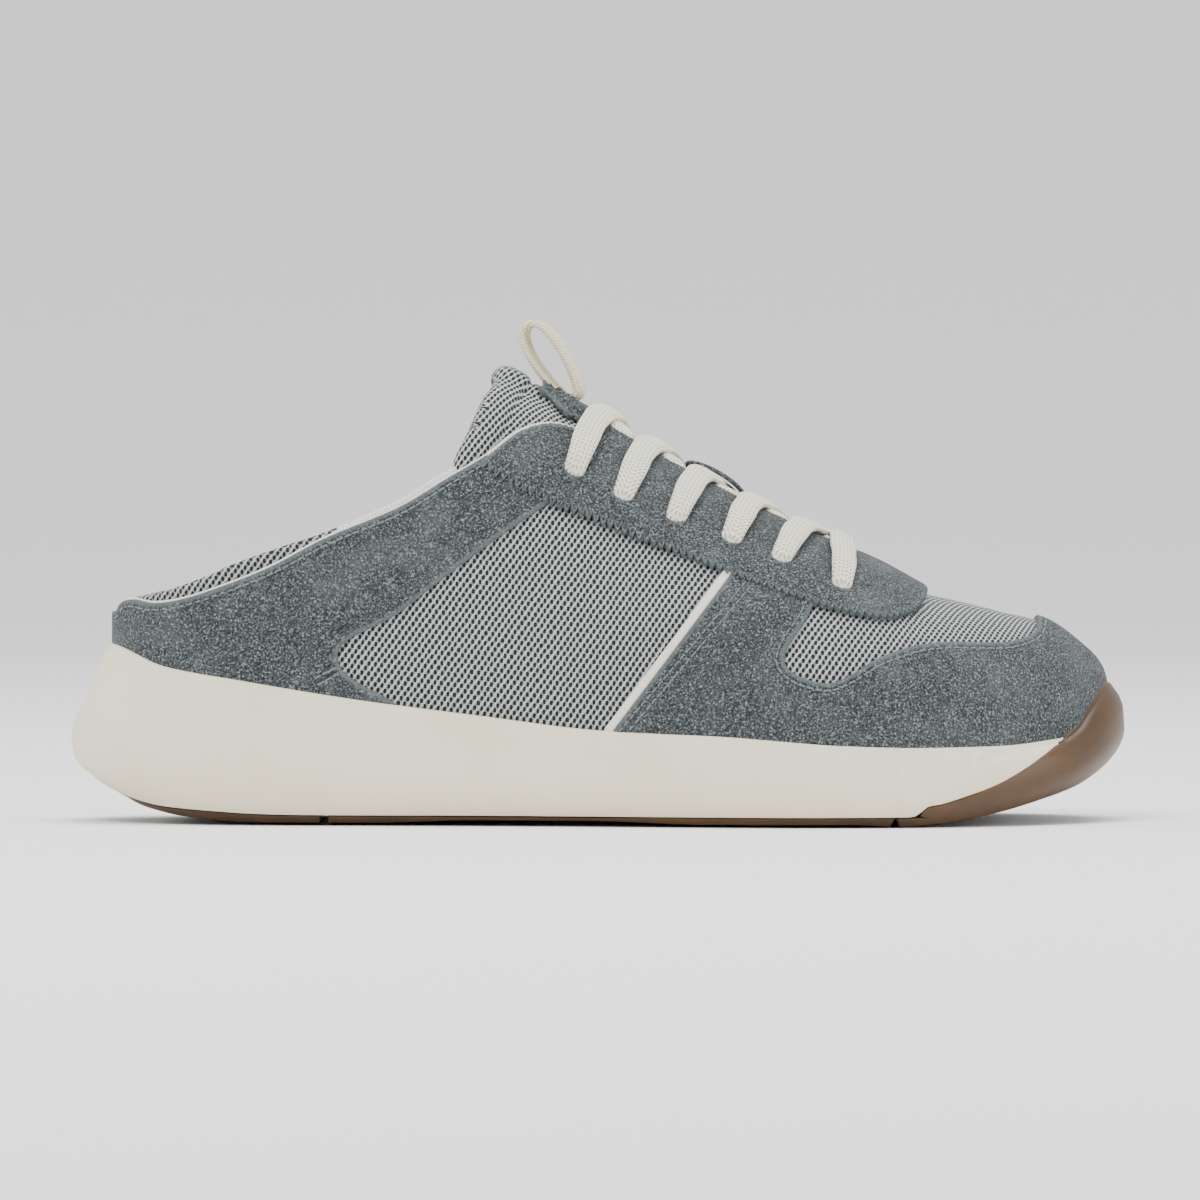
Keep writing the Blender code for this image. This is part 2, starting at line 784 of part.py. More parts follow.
def tongue_face(point, station):
    """Offset of the tongue's outer face: under the facings, and swelling up between them."""
    half = throat_half(station)
    away = abs(point.y - section(station)[2])
    swell = (1 - fade(away, 0.4 * half, 0.75 * half)) * (1 - fade(station, 0.66, 0.70))
    return -WALL - GAP + WALL * swell


def build_tongue():
    """Padded tongue, the suede patch on its head, the lace keeper and the pull loop."""
    tongue = layer("tongue", tongue_face, lambda p, s: tongue_face(p, s) - TONGUE, MESH_CLOTH)
    corners = ((TONGUE_TOE, TONGUE_OUTLINE[-1][1]), (TONGUE_TOE, TONGUE_OUTLINE[0][1]))
    tongue_area = side_outline(TONGUE_OUTLINE, 2, corners)
    boolean(tongue, prism("keep_tongue", tongue_area), "INTERSECT")

    def patch_face(point, station):
        return tongue_face(point, station) + GAP

    patch = layer("tongue_patch", lambda p, s: patch_face(p, s) + SUEDE, patch_face, SUEDE_SKIN)
    head = TONGUE_OUTLINE[0][1]
    patch_area = side_outline(PATCH_EDGE, 1, ((PATCH_EDGE[-1][0], head), (PATCH_EDGE[0][0], head)))
    boolean(patch, prism("keep_patch", patch_area), "INTERSECT")
    corners = []
    for hand, stations in ((LATERAL, (0.40, PATCH_EDGE[-1][0])), (MEDIAL, (PATCH_EDGE[-1][0], 0.40))):
        for station in stations:
            half = throat_half(station) - 2 * GAP
            corners.append((station_x(station), section(station)[2] + hand * half))
    keep_width = prism("keep_patch_width", corners, low=0.0, high=REACH, axis="Z")
    boolean(patch, keep_width, "INTERSECT")

    build_keeper()
    build_pull_loop()


def build_keeper():
    """Suede bridge on the tongue that one lace crossing passes under."""
    arch = LACE_THICKNESS + 3 * GAP
    outer, inner = [], []
    steps = 12
    start, end = KEEPER_SPAN
    for k in range(steps + 1):
        share = k / steps
        station = start + (end - start) * share
        ridge = section(station)[2]
        rise = arch * math.sin(math.pi * share) ** 0.3
        inner.append(surface_point(station, ridge, rise))
        outer.append(surface_point(station, ridge, rise + SUEDE))
    rings = []
    for top, bottom in zip(outer, inner):
        half = Vector((0, KEEPER_WIDTH / 2, 0))
        rings.append([bottom - half, top - half, top + half, bottom + half])
    middle_start = sum(rings[0], Vector()) / 4
    middle_end = sum(rings[-1], Vector()) / 4
    loft("lace_keeper", [[middle_start] * 4] + rings + [[middle_end] * 4], SUEDE_SKIN)


def build_pull_loop():
    """Webbing loop standing on the tongue patch, drawn as a drop leaning back."""
    ridge = section(LOOP_STATION)[2]
    foot = surface_point(LOOP_STATION, ridge, SUEDE + GAP + LOOP_THICKNESS / 2)
    axis = Vector((-math.sin(LOOP_LEAN), 0, math.cos(LOOP_LEAN)))
    across = Vector((math.cos(LOOP_LEAN), 0, math.sin(LOOP_LEAN)))
    narrow = 0.8 * LOOP_THICKNESS
    wide = (LOOP_GAP + LOOP_THICKNESS) / 2
    rings = []
    steps = 24

    def centre(angle):
        along_axis = (1 - math.cos(angle)) / 2
        half = narrow + (wide - narrow) * along_axis**0.8 * 1.25
        return foot + axis * LOOP_LENGTH * along_axis + across * half * math.sin(angle)

    for k in range(steps + 1):
        angle = 2 * math.pi * (k % steps) / steps
        forward = (centre(angle + 0.01) - centre(angle - 0.01)).normalized()
        normal = Vector((forward.z, 0, -forward.x)) * LOOP_THICKNESS / 2
        half = Vector((0, LOOP_WIDTH / 2, 0))
        inside, outside = centre(angle) - normal, centre(angle) + normal
        rings.append([inside - half, outside - half, outside + half, inside + half])
    loft("pull_loop", rings, WEBBING)


def strand(name, start, end, dip, material=None):
    """Flat lace over the instep from one (station, across) to another, dipping in the throat."""
    high = GAP + EYESTAY + GAP + LACE_THICKNESS / 2
    steps = 8
    spots = []
    for k in range(steps + 1):
        share = k / steps
        station = start[0] + (end[0] - start[0]) * share
        across = start[1] + (end[1] - start[1]) * share
        away = abs(across - section(station)[2])
        offset = high - dip * (1 - fade(away, 0.25 * THROAT_TOE_WIDTH, 0.42 * THROAT_TOE_WIDTH))
        spots.append((station, across, offset))
    points = [surface_point(*spot) for spot in spots]
    rings = []
    for i, (station, across, offset) in enumerate(spots):
        ahead = points[min(i + 1, steps)]
        behind = points[max(i - 1, 0)]
        forward = (ahead - behind).normalized()
        up = (surface_point(station, across, offset + 0.001) - points[i]).normalized()
        wide = forward.cross(up).normalized()
        up = wide.cross(forward).normalized()
        ring = []
        for j in range(LACE_SIDES):
            angle = 2 * math.pi * (j + 0.5) / LACE_SIDES
            flat = math.copysign(abs(math.cos(angle)) ** 0.8, math.cos(angle)) * LACE_WIDTH / 2
            thick = math.sin(angle) * LACE_THICKNESS / 2
            ring.append(points[i] + wide * flat + up * thick)
        rings.append(ring)
    return loft(name, [[points[0]] * LACE_SIDES] + rings + [[points[-1]] * LACE_SIDES], material)


def build_laces():
    """Five crossings and the bar at the toe, each clear of the facings and the tongue."""
    for number in range(len(EYELETS) - 1):
        station, height = EYELETS[number]
        next_station = EYELETS[number + 1][0]
        ridge = section(next_station)[2]
        landing = 0.30 * THROAT_TOE_WIDTH
        dip = EYESTAY + 2 * GAP if number == KEPT_CROSSING else 0.5 * EYESTAY
        short = LACE_WIDTH * (1.2 if number == len(EYELETS) - 2 else 0.5)
        halves = []
        for hand, role, finish in ((LATERAL, "lace_crossing", LACE_CORD), (MEDIAL, "join_lace", None)):
            start = (station, height_to_across(station, height, hand))
            end = (next_station - short / UPPER_LENGTH, ridge - hand * landing)
            halves.append(strand(f"{role}_{number + 1}", start, end, dip, finish))
        boolean(halves[0], halves[1], "UNION")
    station, height = EYELETS[-1]
    start = (station, height_to_across(station, height, LATERAL))
    end = (station, height_to_across(station, height, MEDIAL))
    strand("lace_bar", start, end, 0.0, LACE_CORD)


clear_scene()
FOAM = finish_material("midsole_foam", (0.74, 0.71, 0.64), 0.75)
GUM = finish_material("outsole_gum", (0.22, 0.13, 0.065), 0.55)
INSOLE_CLOTH = finish_material("insole_cloth", (0.62, 0.60, 0.55), 0.9)
MESH_CLOTH = finish_material("upper_mesh", (0.42, 0.47, 0.45), 0.9)
SUEDE_SKIN = finish_material("overlay_suede", (0.125, 0.145, 0.155), 0.95)
STRIP_TAPE = finish_material("strip_tape", (0.72, 0.70, 0.64), 0.6)
LINING_CLOTH = finish_material("collar_cloth", (0.68, 0.68, 0.64), 0.9)
WEBBING = finish_material("loop_webbing", (0.68, 0.66, 0.56), 0.85)
LACE_CORD = finish_material("lace_cotton", (0.72, 0.70, 0.62), 0.9)
SKIN = skin()
CUT_LAST = last_block()
build_sole()
build_insole()
build_upper()
build_tongue()
build_laces()
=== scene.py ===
"""Looks of a low-backed lace-up mule trainer: the right shoe, seen square on from its lateral side.

Lengths are in metres. The toe points along +X, the lateral side faces -Y and the ground is z = 0.
Every piece of cloth lies on the same last as the CAD, is cut to its outline as seen from the side
and is turned over at its edges.
"""

import logging
import math
from collections.abc import Callable, Iterable
from dataclasses import dataclass, field
from enum import Enum

import bmesh
import bpy
import numpy as np
from bpy.types import Material, NodeSocket, NodeTree, Object
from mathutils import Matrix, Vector
from mathutils.bvhtree import BVHTree


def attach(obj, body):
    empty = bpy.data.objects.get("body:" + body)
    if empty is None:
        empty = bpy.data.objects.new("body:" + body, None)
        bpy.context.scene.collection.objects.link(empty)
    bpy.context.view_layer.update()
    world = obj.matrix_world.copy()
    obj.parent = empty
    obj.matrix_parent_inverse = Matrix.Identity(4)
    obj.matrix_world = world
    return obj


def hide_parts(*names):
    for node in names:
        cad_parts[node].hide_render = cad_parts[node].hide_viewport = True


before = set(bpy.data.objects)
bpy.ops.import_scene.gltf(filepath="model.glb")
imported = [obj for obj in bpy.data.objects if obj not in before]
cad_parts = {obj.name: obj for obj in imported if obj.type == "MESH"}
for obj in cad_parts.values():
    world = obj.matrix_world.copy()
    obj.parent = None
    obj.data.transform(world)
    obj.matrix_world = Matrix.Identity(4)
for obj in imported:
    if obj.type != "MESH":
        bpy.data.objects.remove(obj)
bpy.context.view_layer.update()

log = logging.getLogger("shoe")

Rows = tuple[tuple[float, ...], ...]
Distance = Callable[[np.ndarray], np.ndarray]
MM = 0.001


class Hand(Enum):
    """Side of the right shoe, as the sign of its Y."""

    LATERAL = -1
    MEDIAL = 1


# Plan of the last: station, shares of the ball width for both edges and the ridge, then fullness
PLAN: Rows = (
    (0.00, 0.000, 0.000, 0.000, 0.74), (0.04, 0.212, 0.208, 0.000, 0.74),
    (0.10, 0.292, 0.286, 0.000, 0.74), (0.18, 0.330, 0.320, 0.000, 0.76),
    (0.30, 0.350, 0.318, 0.010, 0.84), (0.42, 0.385, 0.312, 0.015, 0.94),
    (0.52, 0.432, 0.338, 0.030, 0.96), (0.62, 0.484, 0.405, 0.045, 0.92),
    (0.70, 0.505, 0.470, 0.055, 0.90), (0.76, 0.496, 0.500, 0.065, 0.88),
    (0.82, 0.460, 0.506, 0.080, 0.86), (0.88, 0.388, 0.474, 0.090, 0.84),
    (0.93, 0.290, 0.415, 0.098, 0.82), (0.97, 0.155, 0.328, 0.104, 0.82),
    (1.00, -0.104, 0.104, 0.104, 0.82),
)

# Height of the ridge over the rim of the sole, as a share of the instep height
PROFILE: Rows = (
    (0.00, 1.10), (0.18, 1.21), (0.30, 1.21), (0.37, 1.15), (0.45, 1.05), (0.49, 0.99),
    (0.55, 0.875), (0.63, 0.740), (0.71, 0.638), (0.77, 0.560), (0.82, 0.482), (0.89, 0.420),
    (0.935, 0.372), (0.975, 0.270), (0.995, 0.186), (1.00, 0.095),
)

# Rim of the sole, as a share of the drop from the heel stack to the forefoot stack
RIM: Rows = (
    (-0.05, 1.060), (0.00, 0.960), (0.05, 0.765), (0.12, 0.645), (0.25, 0.440), (0.37, 0.288),
    (0.49, 0.150), (0.61, 0.098), (0.73, 0.011), (0.81, -0.010), (0.89, 0.000), (0.95, 0.058),
    (1.00, 0.130), (1.05, 0.200),
)

# Rise of the underside off the ground, as a share of the forefoot stack
UNDERSIDE: Rows = (
    (-0.02, 0.480), (0.00, 0.340), (0.02, 0.215), (0.04, 0.140), (0.07, 0.066), (0.11, 0.016),
    (0.15, 0.000), (0.26, 0.000), (0.36, 0.035), (0.48, 0.035), (0.59, 0.000), (0.77, 0.000),
    (0.83, 0.050), (0.89, 0.195), (0.93, 0.330), (0.97, 0.490), (0.99, 0.630), (1.01, 0.860),
)

# Side of the sole: share of its height, then shares of the flare near the heel and at the toe
SIDE: Rows = (
    (0.00, -0.42, -0.42), (0.09, 0.22, 0.20), (0.26, 0.91, 0.80), (0.40, 1.00, 1.00),
    (0.70, 0.52, 0.90), (1.00, 0.00, 0.00),
)

# Flare along the sole: station, then shares of the ledge and of the heel flare
FLARE: Rows = (
    (0.00, 1.00, 1.00), (0.03, 1.00, 0.80), (0.10, 1.00, 0.52), (0.25, 1.00, 0.38),
    (0.50, 1.00, 0.30), (0.75, 1.00, 0.26), (0.93, 1.00, 0.30), (1.00, 0.35, 0.46),
)

# Toe bumper: station, then its height over the rim as a share of its rise
BUMPER: Rows = (
    (0.953, 0.00), (0.968, 0.17), (0.980, 0.46), (0.990, 0.68), (1.00, 0.90), (1.01, 1.00),
)

# Edge where the gum meets the foam: station, then height as a share of the forefoot stack
GUM_LINE: Rows = (
    (-0.060, 0.760), (-0.032, 0.640), (-0.014, 0.465), (0.008, 0.345), (0.030, 0.260),
    (0.052, 0.209), (0.096, 0.167), (0.162, 0.126), (0.300, 0.118), (0.772, 0.118),
    (0.802, 0.140), (0.814, 0.255), (0.832, 0.300), (0.875, 0.475), (0.901, 0.625),
    (0.924, 0.800), (0.953, 1.060),
)

# Outlines seen from the side: station, then height over the rim as a share of the instep height
TOPLINE: Rows = (
    (-0.060, 0.080), (-0.006, 0.101), (0.002, 0.136), (0.016, 0.166), (0.040, 0.190),
    (0.073, 0.232), (0.117, 0.301), (0.161, 0.382), (0.215, 0.500), (0.286, 0.627),
    (0.333, 0.736), (0.374, 0.830), (0.406, 0.922), (0.437, 0.964), (0.464, 0.958),
    (0.480, 0.935),
)
LINING_TOP: Rows = (
    (-0.060, 0.140), (0.000, 0.150), (0.017, 0.176), (0.055, 0.250), (0.096, 0.320),
    (0.117, 0.361), (0.161, 0.435), (0.220, 0.530), (0.286, 0.655), (0.328, 0.755),
)
EYESTAY_EDGE: Rows = (
    (0.363, 0.800), (0.395, 0.752), (0.435, 0.704), (0.483, 0.660), (0.532, 0.607),
    (0.579, 0.560), (0.625, 0.511), (0.681, 0.465), (0.730, 0.430), (0.779, 0.412),
    (0.808, 0.446),
)
SIDE_WINDOW: Rows = (
    (0.440, 0.715), (0.387, 0.577), (0.326, 0.408), (0.284, 0.287), (0.240, 0.195),
    (0.226, 0.140), (0.231, 0.085), (0.250, 0.049), (0.284, 0.003), (0.296, -0.060),
)
TOE_WINDOW: Rows = (
    (0.709, 0.500), (0.694, 0.397), (0.675, 0.303), (0.672, 0.244), (0.689, 0.208),
    (0.715, 0.196), (0.735, 0.222), (0.762, 0.277), (0.782, 0.304), (0.805, 0.326),
    (0.837, 0.336), (0.870, 0.332), (0.895, 0.330), (0.915, 0.338), (0.928, 0.356),
    (0.933, 0.400),
)
EYESTAY_TIP = 0.819
STRIP_FOOT = (0.491, 0.501)
STRIP_HEAD = (0.619, 0.629)
STRIP_HEAD_HEIGHT = 0.560
TONGUE_OUTLINE: Rows = (
    (0.394, 1.300), (0.388, 1.110), (0.373, 1.023), (0.357, 0.903), (0.342, 0.790),
    (0.352, 0.735), (0.420, 0.690), (0.500, 0.665), (0.600, 0.600), (0.680, 0.530),
    (0.740, 0.480),
)
PATCH_EDGE: Rows = ((0.430, 1.060), (0.469, 0.951), (0.512, 0.870))
EYELETS: Rows = (
    (0.463, 0.821), (0.512, 0.754), (0.565, 0.690), (0.620, 0.631), (0.670, 0.582),
    (0.730, 0.512),
)


def along(rows: Rows, column: int, at: np.ndarray) -> np.ndarray:
    """Reads a column of a table by a monotone cubic through its rows.

    Args:
        rows: The table, with its keys in the first column.
        column: The column that is read.
        at: Keys to read it at.

    Returns:
        The values at those keys.
    """
    table = np.array(rows)
    keys, values = table[:, 0], table[:, column]
    steps = np.diff(keys)
    rates = np.diff(values) / steps
    before, after = rates[:-1], rates[1:]
    same_way = before * after > 0
    total = np.where(same_way, before + after, 1.0)
    inner = np.where(same_way, 2 * before * after / total, 0.0)
    slopes = np.concatenate([rates[:1], inner, rates[-1:]])
    at = np.clip(at, keys[0], keys[-1])
    i = np.clip(np.searchsorted(keys, at, side="right") - 1, 0, len(steps) - 1)
    u = (at - keys[i]) / steps[i]
    start = (1 + 2 * u) * (1 - u) ** 2 * values[i] + u * (1 - u) ** 2 * steps[i] * slopes[i]
    end = u * u * (3 - 2 * u) * values[i + 1] - u * u * (1 - u) * steps[i] * slopes[i + 1]
    return start + end


def fade(value: np.ndarray, start: float, end: float) -> np.ndarray:
    """Goes smoothly from 0 to 1."""
    u = np.clip((value - start) / (end - start), 0.0, 1.0)
    return u * u * (3 - 2 * u)


def smooth(points: np.ndarray, steps: int) -> np.ndarray:
    """Draws a smooth curve through points.

    Args:
        points: Points in order, of any dimension.
        steps: Steps between two neighbours.

    Returns:
        Points of the curve.
    """
    padded = np.concatenate([points[:1], points, points[-1:]])
    u = (np.arange(steps) / steps)[:, None]
    weights = (
        -0.5 * u + u * u - 0.5 * u**3,
        1 - 2.5 * u * u + 1.5 * u**3,
        0.5 * u + 2 * u * u - 1.5 * u**3,
        -0.5 * u * u + 0.5 * u**3,
    )
    spans = [
        sum(weight * point for weight, point in zip(weights, padded[k : k + 4]))
        for k in range(len(points) - 1)
    ]
    return np.concatenate([*spans, points[-1:]])


def lengths_along(points: np.ndarray) -> np.ndarray:
    """Measures a polyline."""
    steps = np.linalg.norm(np.diff(points, axis=0), axis=1)
    return np.concatenate([[0.0], np.cumsum(steps)])


def spans(points: np.ndarray, axis: int) -> np.ndarray:
    """Measures a grid.

    Args:
        points: The grid.
        axis: 0 to measure along its rows, 1 along its columns.

    Returns:
        Length from the start to each point.
    """
    steps = np.linalg.norm(np.diff(points, axis=axis), axis=2)
    start = np.zeros_like(np.take(steps, [0], axis=axis))
    return np.concatenate([start, np.cumsum(steps, axis=axis)], axis=axis)


def resampled(points: np.ndarray, lengths: np.ndarray, wanted: np.ndarray) -> np.ndarray:
    """Reads a polyline at given lengths."""
    columns = [np.interp(wanted, lengths, column) for column in points.T]
    return np.stack(columns, axis=1)


def parallel(points: np.ndarray, distance: float) -> np.ndarray:
    """Moves a curve of the side view sideways, to the left of its direction if positive.

    Args:
        points: Its points in order.
        distance: How far it is moved.

    Returns:
        The moved points.
    """
    ahead = np.gradient(points, axis=0)
    ahead /= np.linalg.norm(ahead, axis=1)[:, None]
    return points + distance * np.stack([-ahead[:, 1], ahead[:, 0]], axis=1)


def inside_distance(places: np.ndarray, outline: np.ndarray) -> np.ndarray:
    """Measures how far points lie inside a closed outline.

    Args:
        places: Points, one a row, with two coordinates.
        outline: Corners of the outline.

    Returns:
        Distances to the outline, negative outside it.
    """
    start, end = outline, np.roll(outline, -1, axis=0)
    near = np.full(len(places), np.inf)
    inside = np.zeros(len(places), bool)
    for a, b in zip(start, end):
        span = b - a
        reach = places - a
        share = np.clip(reach @ span / max(span @ span, 1e-18), 0.0, 1.0)
        near = np.minimum(near, np.linalg.norm(reach - share[:, None] * span, axis=1))
        if a[1] != b[1]:
            level = (a[1] > places[:, 1]) != (b[1] > places[:, 1])
            inside ^= level & (reach[:, 0] < span[0] * reach[:, 1] / span[1])
    return np.where(inside, near, -near)


@dataclass
class Patch:
    """Grid of places on a surface, with what cloth on it needs to know."""

    points: np.ndarray
    normals: np.ndarray
    stations: np.ndarray
    warp: np.ndarray
    weft: np.ndarray


@dataclass
class Last:
    """The smooth surface that all cloth of the shoe lies on, and the sole's rim, in metres."""

    length: float = 0.2674
    ball_width: float = 0.0960
    instep: float = 0.0840
    heel_stack: float = 0.0488
    forefoot_stack: float = 0.0215
    heel_x: float = -0.1302
    seat_depth: float = 0.0010
    gap: float = 0.0003

    def __post_init__(self) -> None:
        """Prepares the rounded tables."""
        self.plan = self.rounded(PLAN)
        self.profile = self.rounded(PROFILE)

    @staticmethod
    def turn(station: np.ndarray) -> np.ndarray:
        """Turns stations into shares of a half circle, so that both ends close round."""
        return np.arccos(1 - 2 * np.clip(station, 0.0, 1.0)) / np.pi

    @classmethod
    def rounded(cls, rows: Rows) -> Rows:
        """Rekeys a table from stations to shares of a half circle."""
        return tuple((float(cls.turn(row[0])), *row[1:]) for row in rows)

    def x(self, station: np.ndarray) -> np.ndarray:
        """Finds the X of stations."""
        return self.heel_x + self.length * station

    def station(self, x: np.ndarray) -> np.ndarray:
        """Finds the stations of X."""
        return (x - self.heel_x) / self.length

    def rim(self, station: np.ndarray) -> np.ndarray:
        """Finds the height of the sole's rim."""
        drop = self.heel_stack - self.forefoot_stack
        return self.forefoot_stack + drop * along(RIM, 1, station)

    def side(self, rows: Iterable[tuple[float, float]]) -> np.ndarray:
        """Places an outline in the side view.

        Args:
            rows: Stations and shares of the instep height.

        Returns:
            X and Z of each point.
        """
        table = np.array(list(rows))
        heights = self.rim(table[:, 0]) + table[:, 1] * self.instep
        return np.stack([self.x(table[:, 0]), heights], axis=1)

    def section(self, station: np.ndarray) -> tuple[np.ndarray, ...]:
        """Describes the last's section at stations.

        Args:
            station: Stations along the upper.

        Returns:
            Lateral and medial reach, ridge, foot, height and fullness.
        """
        at = self.turn(station)
        plan = [along(self.plan, column, at) * self.ball_width for column in (1, 2, 3)]
        lateral, medial, ridge = plan
        rim = self.rim(station)
        foot = rim - self.seat_depth + self.gap
        height = rim + along(self.profile, 1, at) * self.instep - foot
        return ridge + lateral, medial - ridge, ridge, foot, height, along(self.plan, 4, at)

    def point(self, station: np.ndarray, angle: np.ndarray) -> np.ndarray:
        """Finds points of the last by the angle round its section.

        Args:
            station: Stations along the upper.
            angle: Angles from the lateral foot over the ridge.

        Returns:
            The points.
        """
        to_lateral, to_medial, ridge, foot, height, fullness = self.section(station)
        out = np.abs(np.cos(angle)) ** fullness
        across = np.where(angle < np.pi / 2, -to_lateral * out, to_medial * out)
        rise = np.maximum(np.sin(angle), 0.0) ** fullness
        x = self.x(station) + 0 * angle
        return np.stack([x, ridge + across, foot + rise * height], axis=-1)

    def over(self, station: np.ndarray, across: np.ndarray) -> np.ndarray:
        """Finds points of the last by their distance across it.

        Args:
            station: Stations along the upper.
            across: Distances across the last.

        Returns:
            The points.
        """
        to_lateral, to_medial, ridge, foot, height, fullness = self.section(station)
        reach = np.maximum(np.where(across < ridge, to_lateral, to_medial), 1e-9)
        share = np.clip(np.abs(across - ridge) / reach, 0.0, 1.0)
        angle = np.arccos(share ** (1 / fullness))
        z = foot + height * np.sin(angle) ** fullness
        return np.stack([self.x(station), across + 0 * z, z], axis=-1)

    def surface(
        self, station: np.ndarray, across: np.ndarray, offset: np.ndarray
    ) -> tuple[np.ndarray, np.ndarray]:
        """Finds points over the last and the directions away from it.

        Args:
            station: Stations along the upper.
            across: Distances across the last.
            offset: Heights over the last.

        Returns:
            The points and the unit normals.
        """
        step = 0.002
        ahead = self.over(station + step, across) - self.over(station - step, across)
        aside = self.over(station, across + step / 2) - self.over(station, across - step / 2)
        normal = np.cross(ahead, aside)
        normal /= np.linalg.norm(normal, axis=-1)[..., None]
        return self.over(station, across) + np.asarray(offset)[..., None] * normal, normal

    def seen(self, view: np.ndarray, hand: Hand, offset: float) -> np.ndarray:
        """Finds where points of the side view lie on the last.

        Args:
            view: X and Z of each point.
            hand: Side of the shoe.
            offset: Height over the last at which they are seen.

        Returns:
            Station and distance across for each point.
        """
        target = view.copy()
        for _ in range(6):
            station = self.station(target[:, 0])
            to_lateral, to_medial, ridge, foot, height, fullness = self.section(station)
            rise = np.clip((target[:, 1] - foot) / height, 0.0, 1.0)
            angle = np.arcsin(rise ** (1 / fullness))
            reach = to_lateral if hand is Hand.LATERAL else to_medial
            across = ridge + hand.value * reach * np.cos(angle) ** fullness
            found = self.surface(station, across, np.full(len(view), offset))[0]
            target += view - found[:, [0, 2]]
        return np.stack([station, across], axis=1)

    def patch(self, stations: np.ndarray, columns: int, girth: tuple[float, float]) -> Patch:
        """Lays an even grid over part of the last.

        Args:
            stations: Station of each row.
            columns: Number of columns.
            girth: Shares of the girth at which the columns start and end.

        Returns:
            The grid.
        """
        angles = np.linspace(0.0, np.pi, 361)
        rings = self.point(stations[:, None], angles[None, :])
        shares = np.linspace(*girth, columns)
        picked, weft = [], []
        for ring in rings:
            lengths = lengths_along(ring)
            picked.append(np.interp(shares * lengths[-1], lengths, angles))
            weft.append(shares * lengths[-1])
        points = self.point(stations[:, None], np.array(picked))
        normals = self.normals(points, stations)
        warp = spans(points, 0)
        middle = np.argmin(np.abs(stations - 0.5))
        return Patch(points, normals, stations, warp - warp[middle], np.array(weft))

    @staticmethod
    def normals(points: np.ndarray, stations: np.ndarray) -> np.ndarray:
        """Works out the normals of a grid.

        Args:
            points: The grid.
            stations: Station of each row.

        Returns:
            Unit normals.
        """
        normals = np.cross(np.gradient(points, axis=0), np.gradient(points, axis=1))
        size = np.linalg.norm(normals, axis=2)[..., None]
        normals = normals / np.maximum(size, 1e-15)
        normals[stations <= 0.0] = (-1.0, 0.0, 0.0)
        normals[stations >= 1.0] = (1.0, 0.0, 0.0)
        return normals


def even_stations(count: int, start: float, end: float) -> np.ndarray:
    """Spaces stations so that they gather towards the two ends of the last.

    Args:
        count: Number of stations.
        start: First station.
        end: Last station.

    Returns:
        The stations.
    """
    turns = np.linspace(Last.turn(start), Last.turn(end), count)
    stations = (1 - np.cos(np.pi * turns)) / 2
    stations[0], stations[-1] = start, end
    return stations


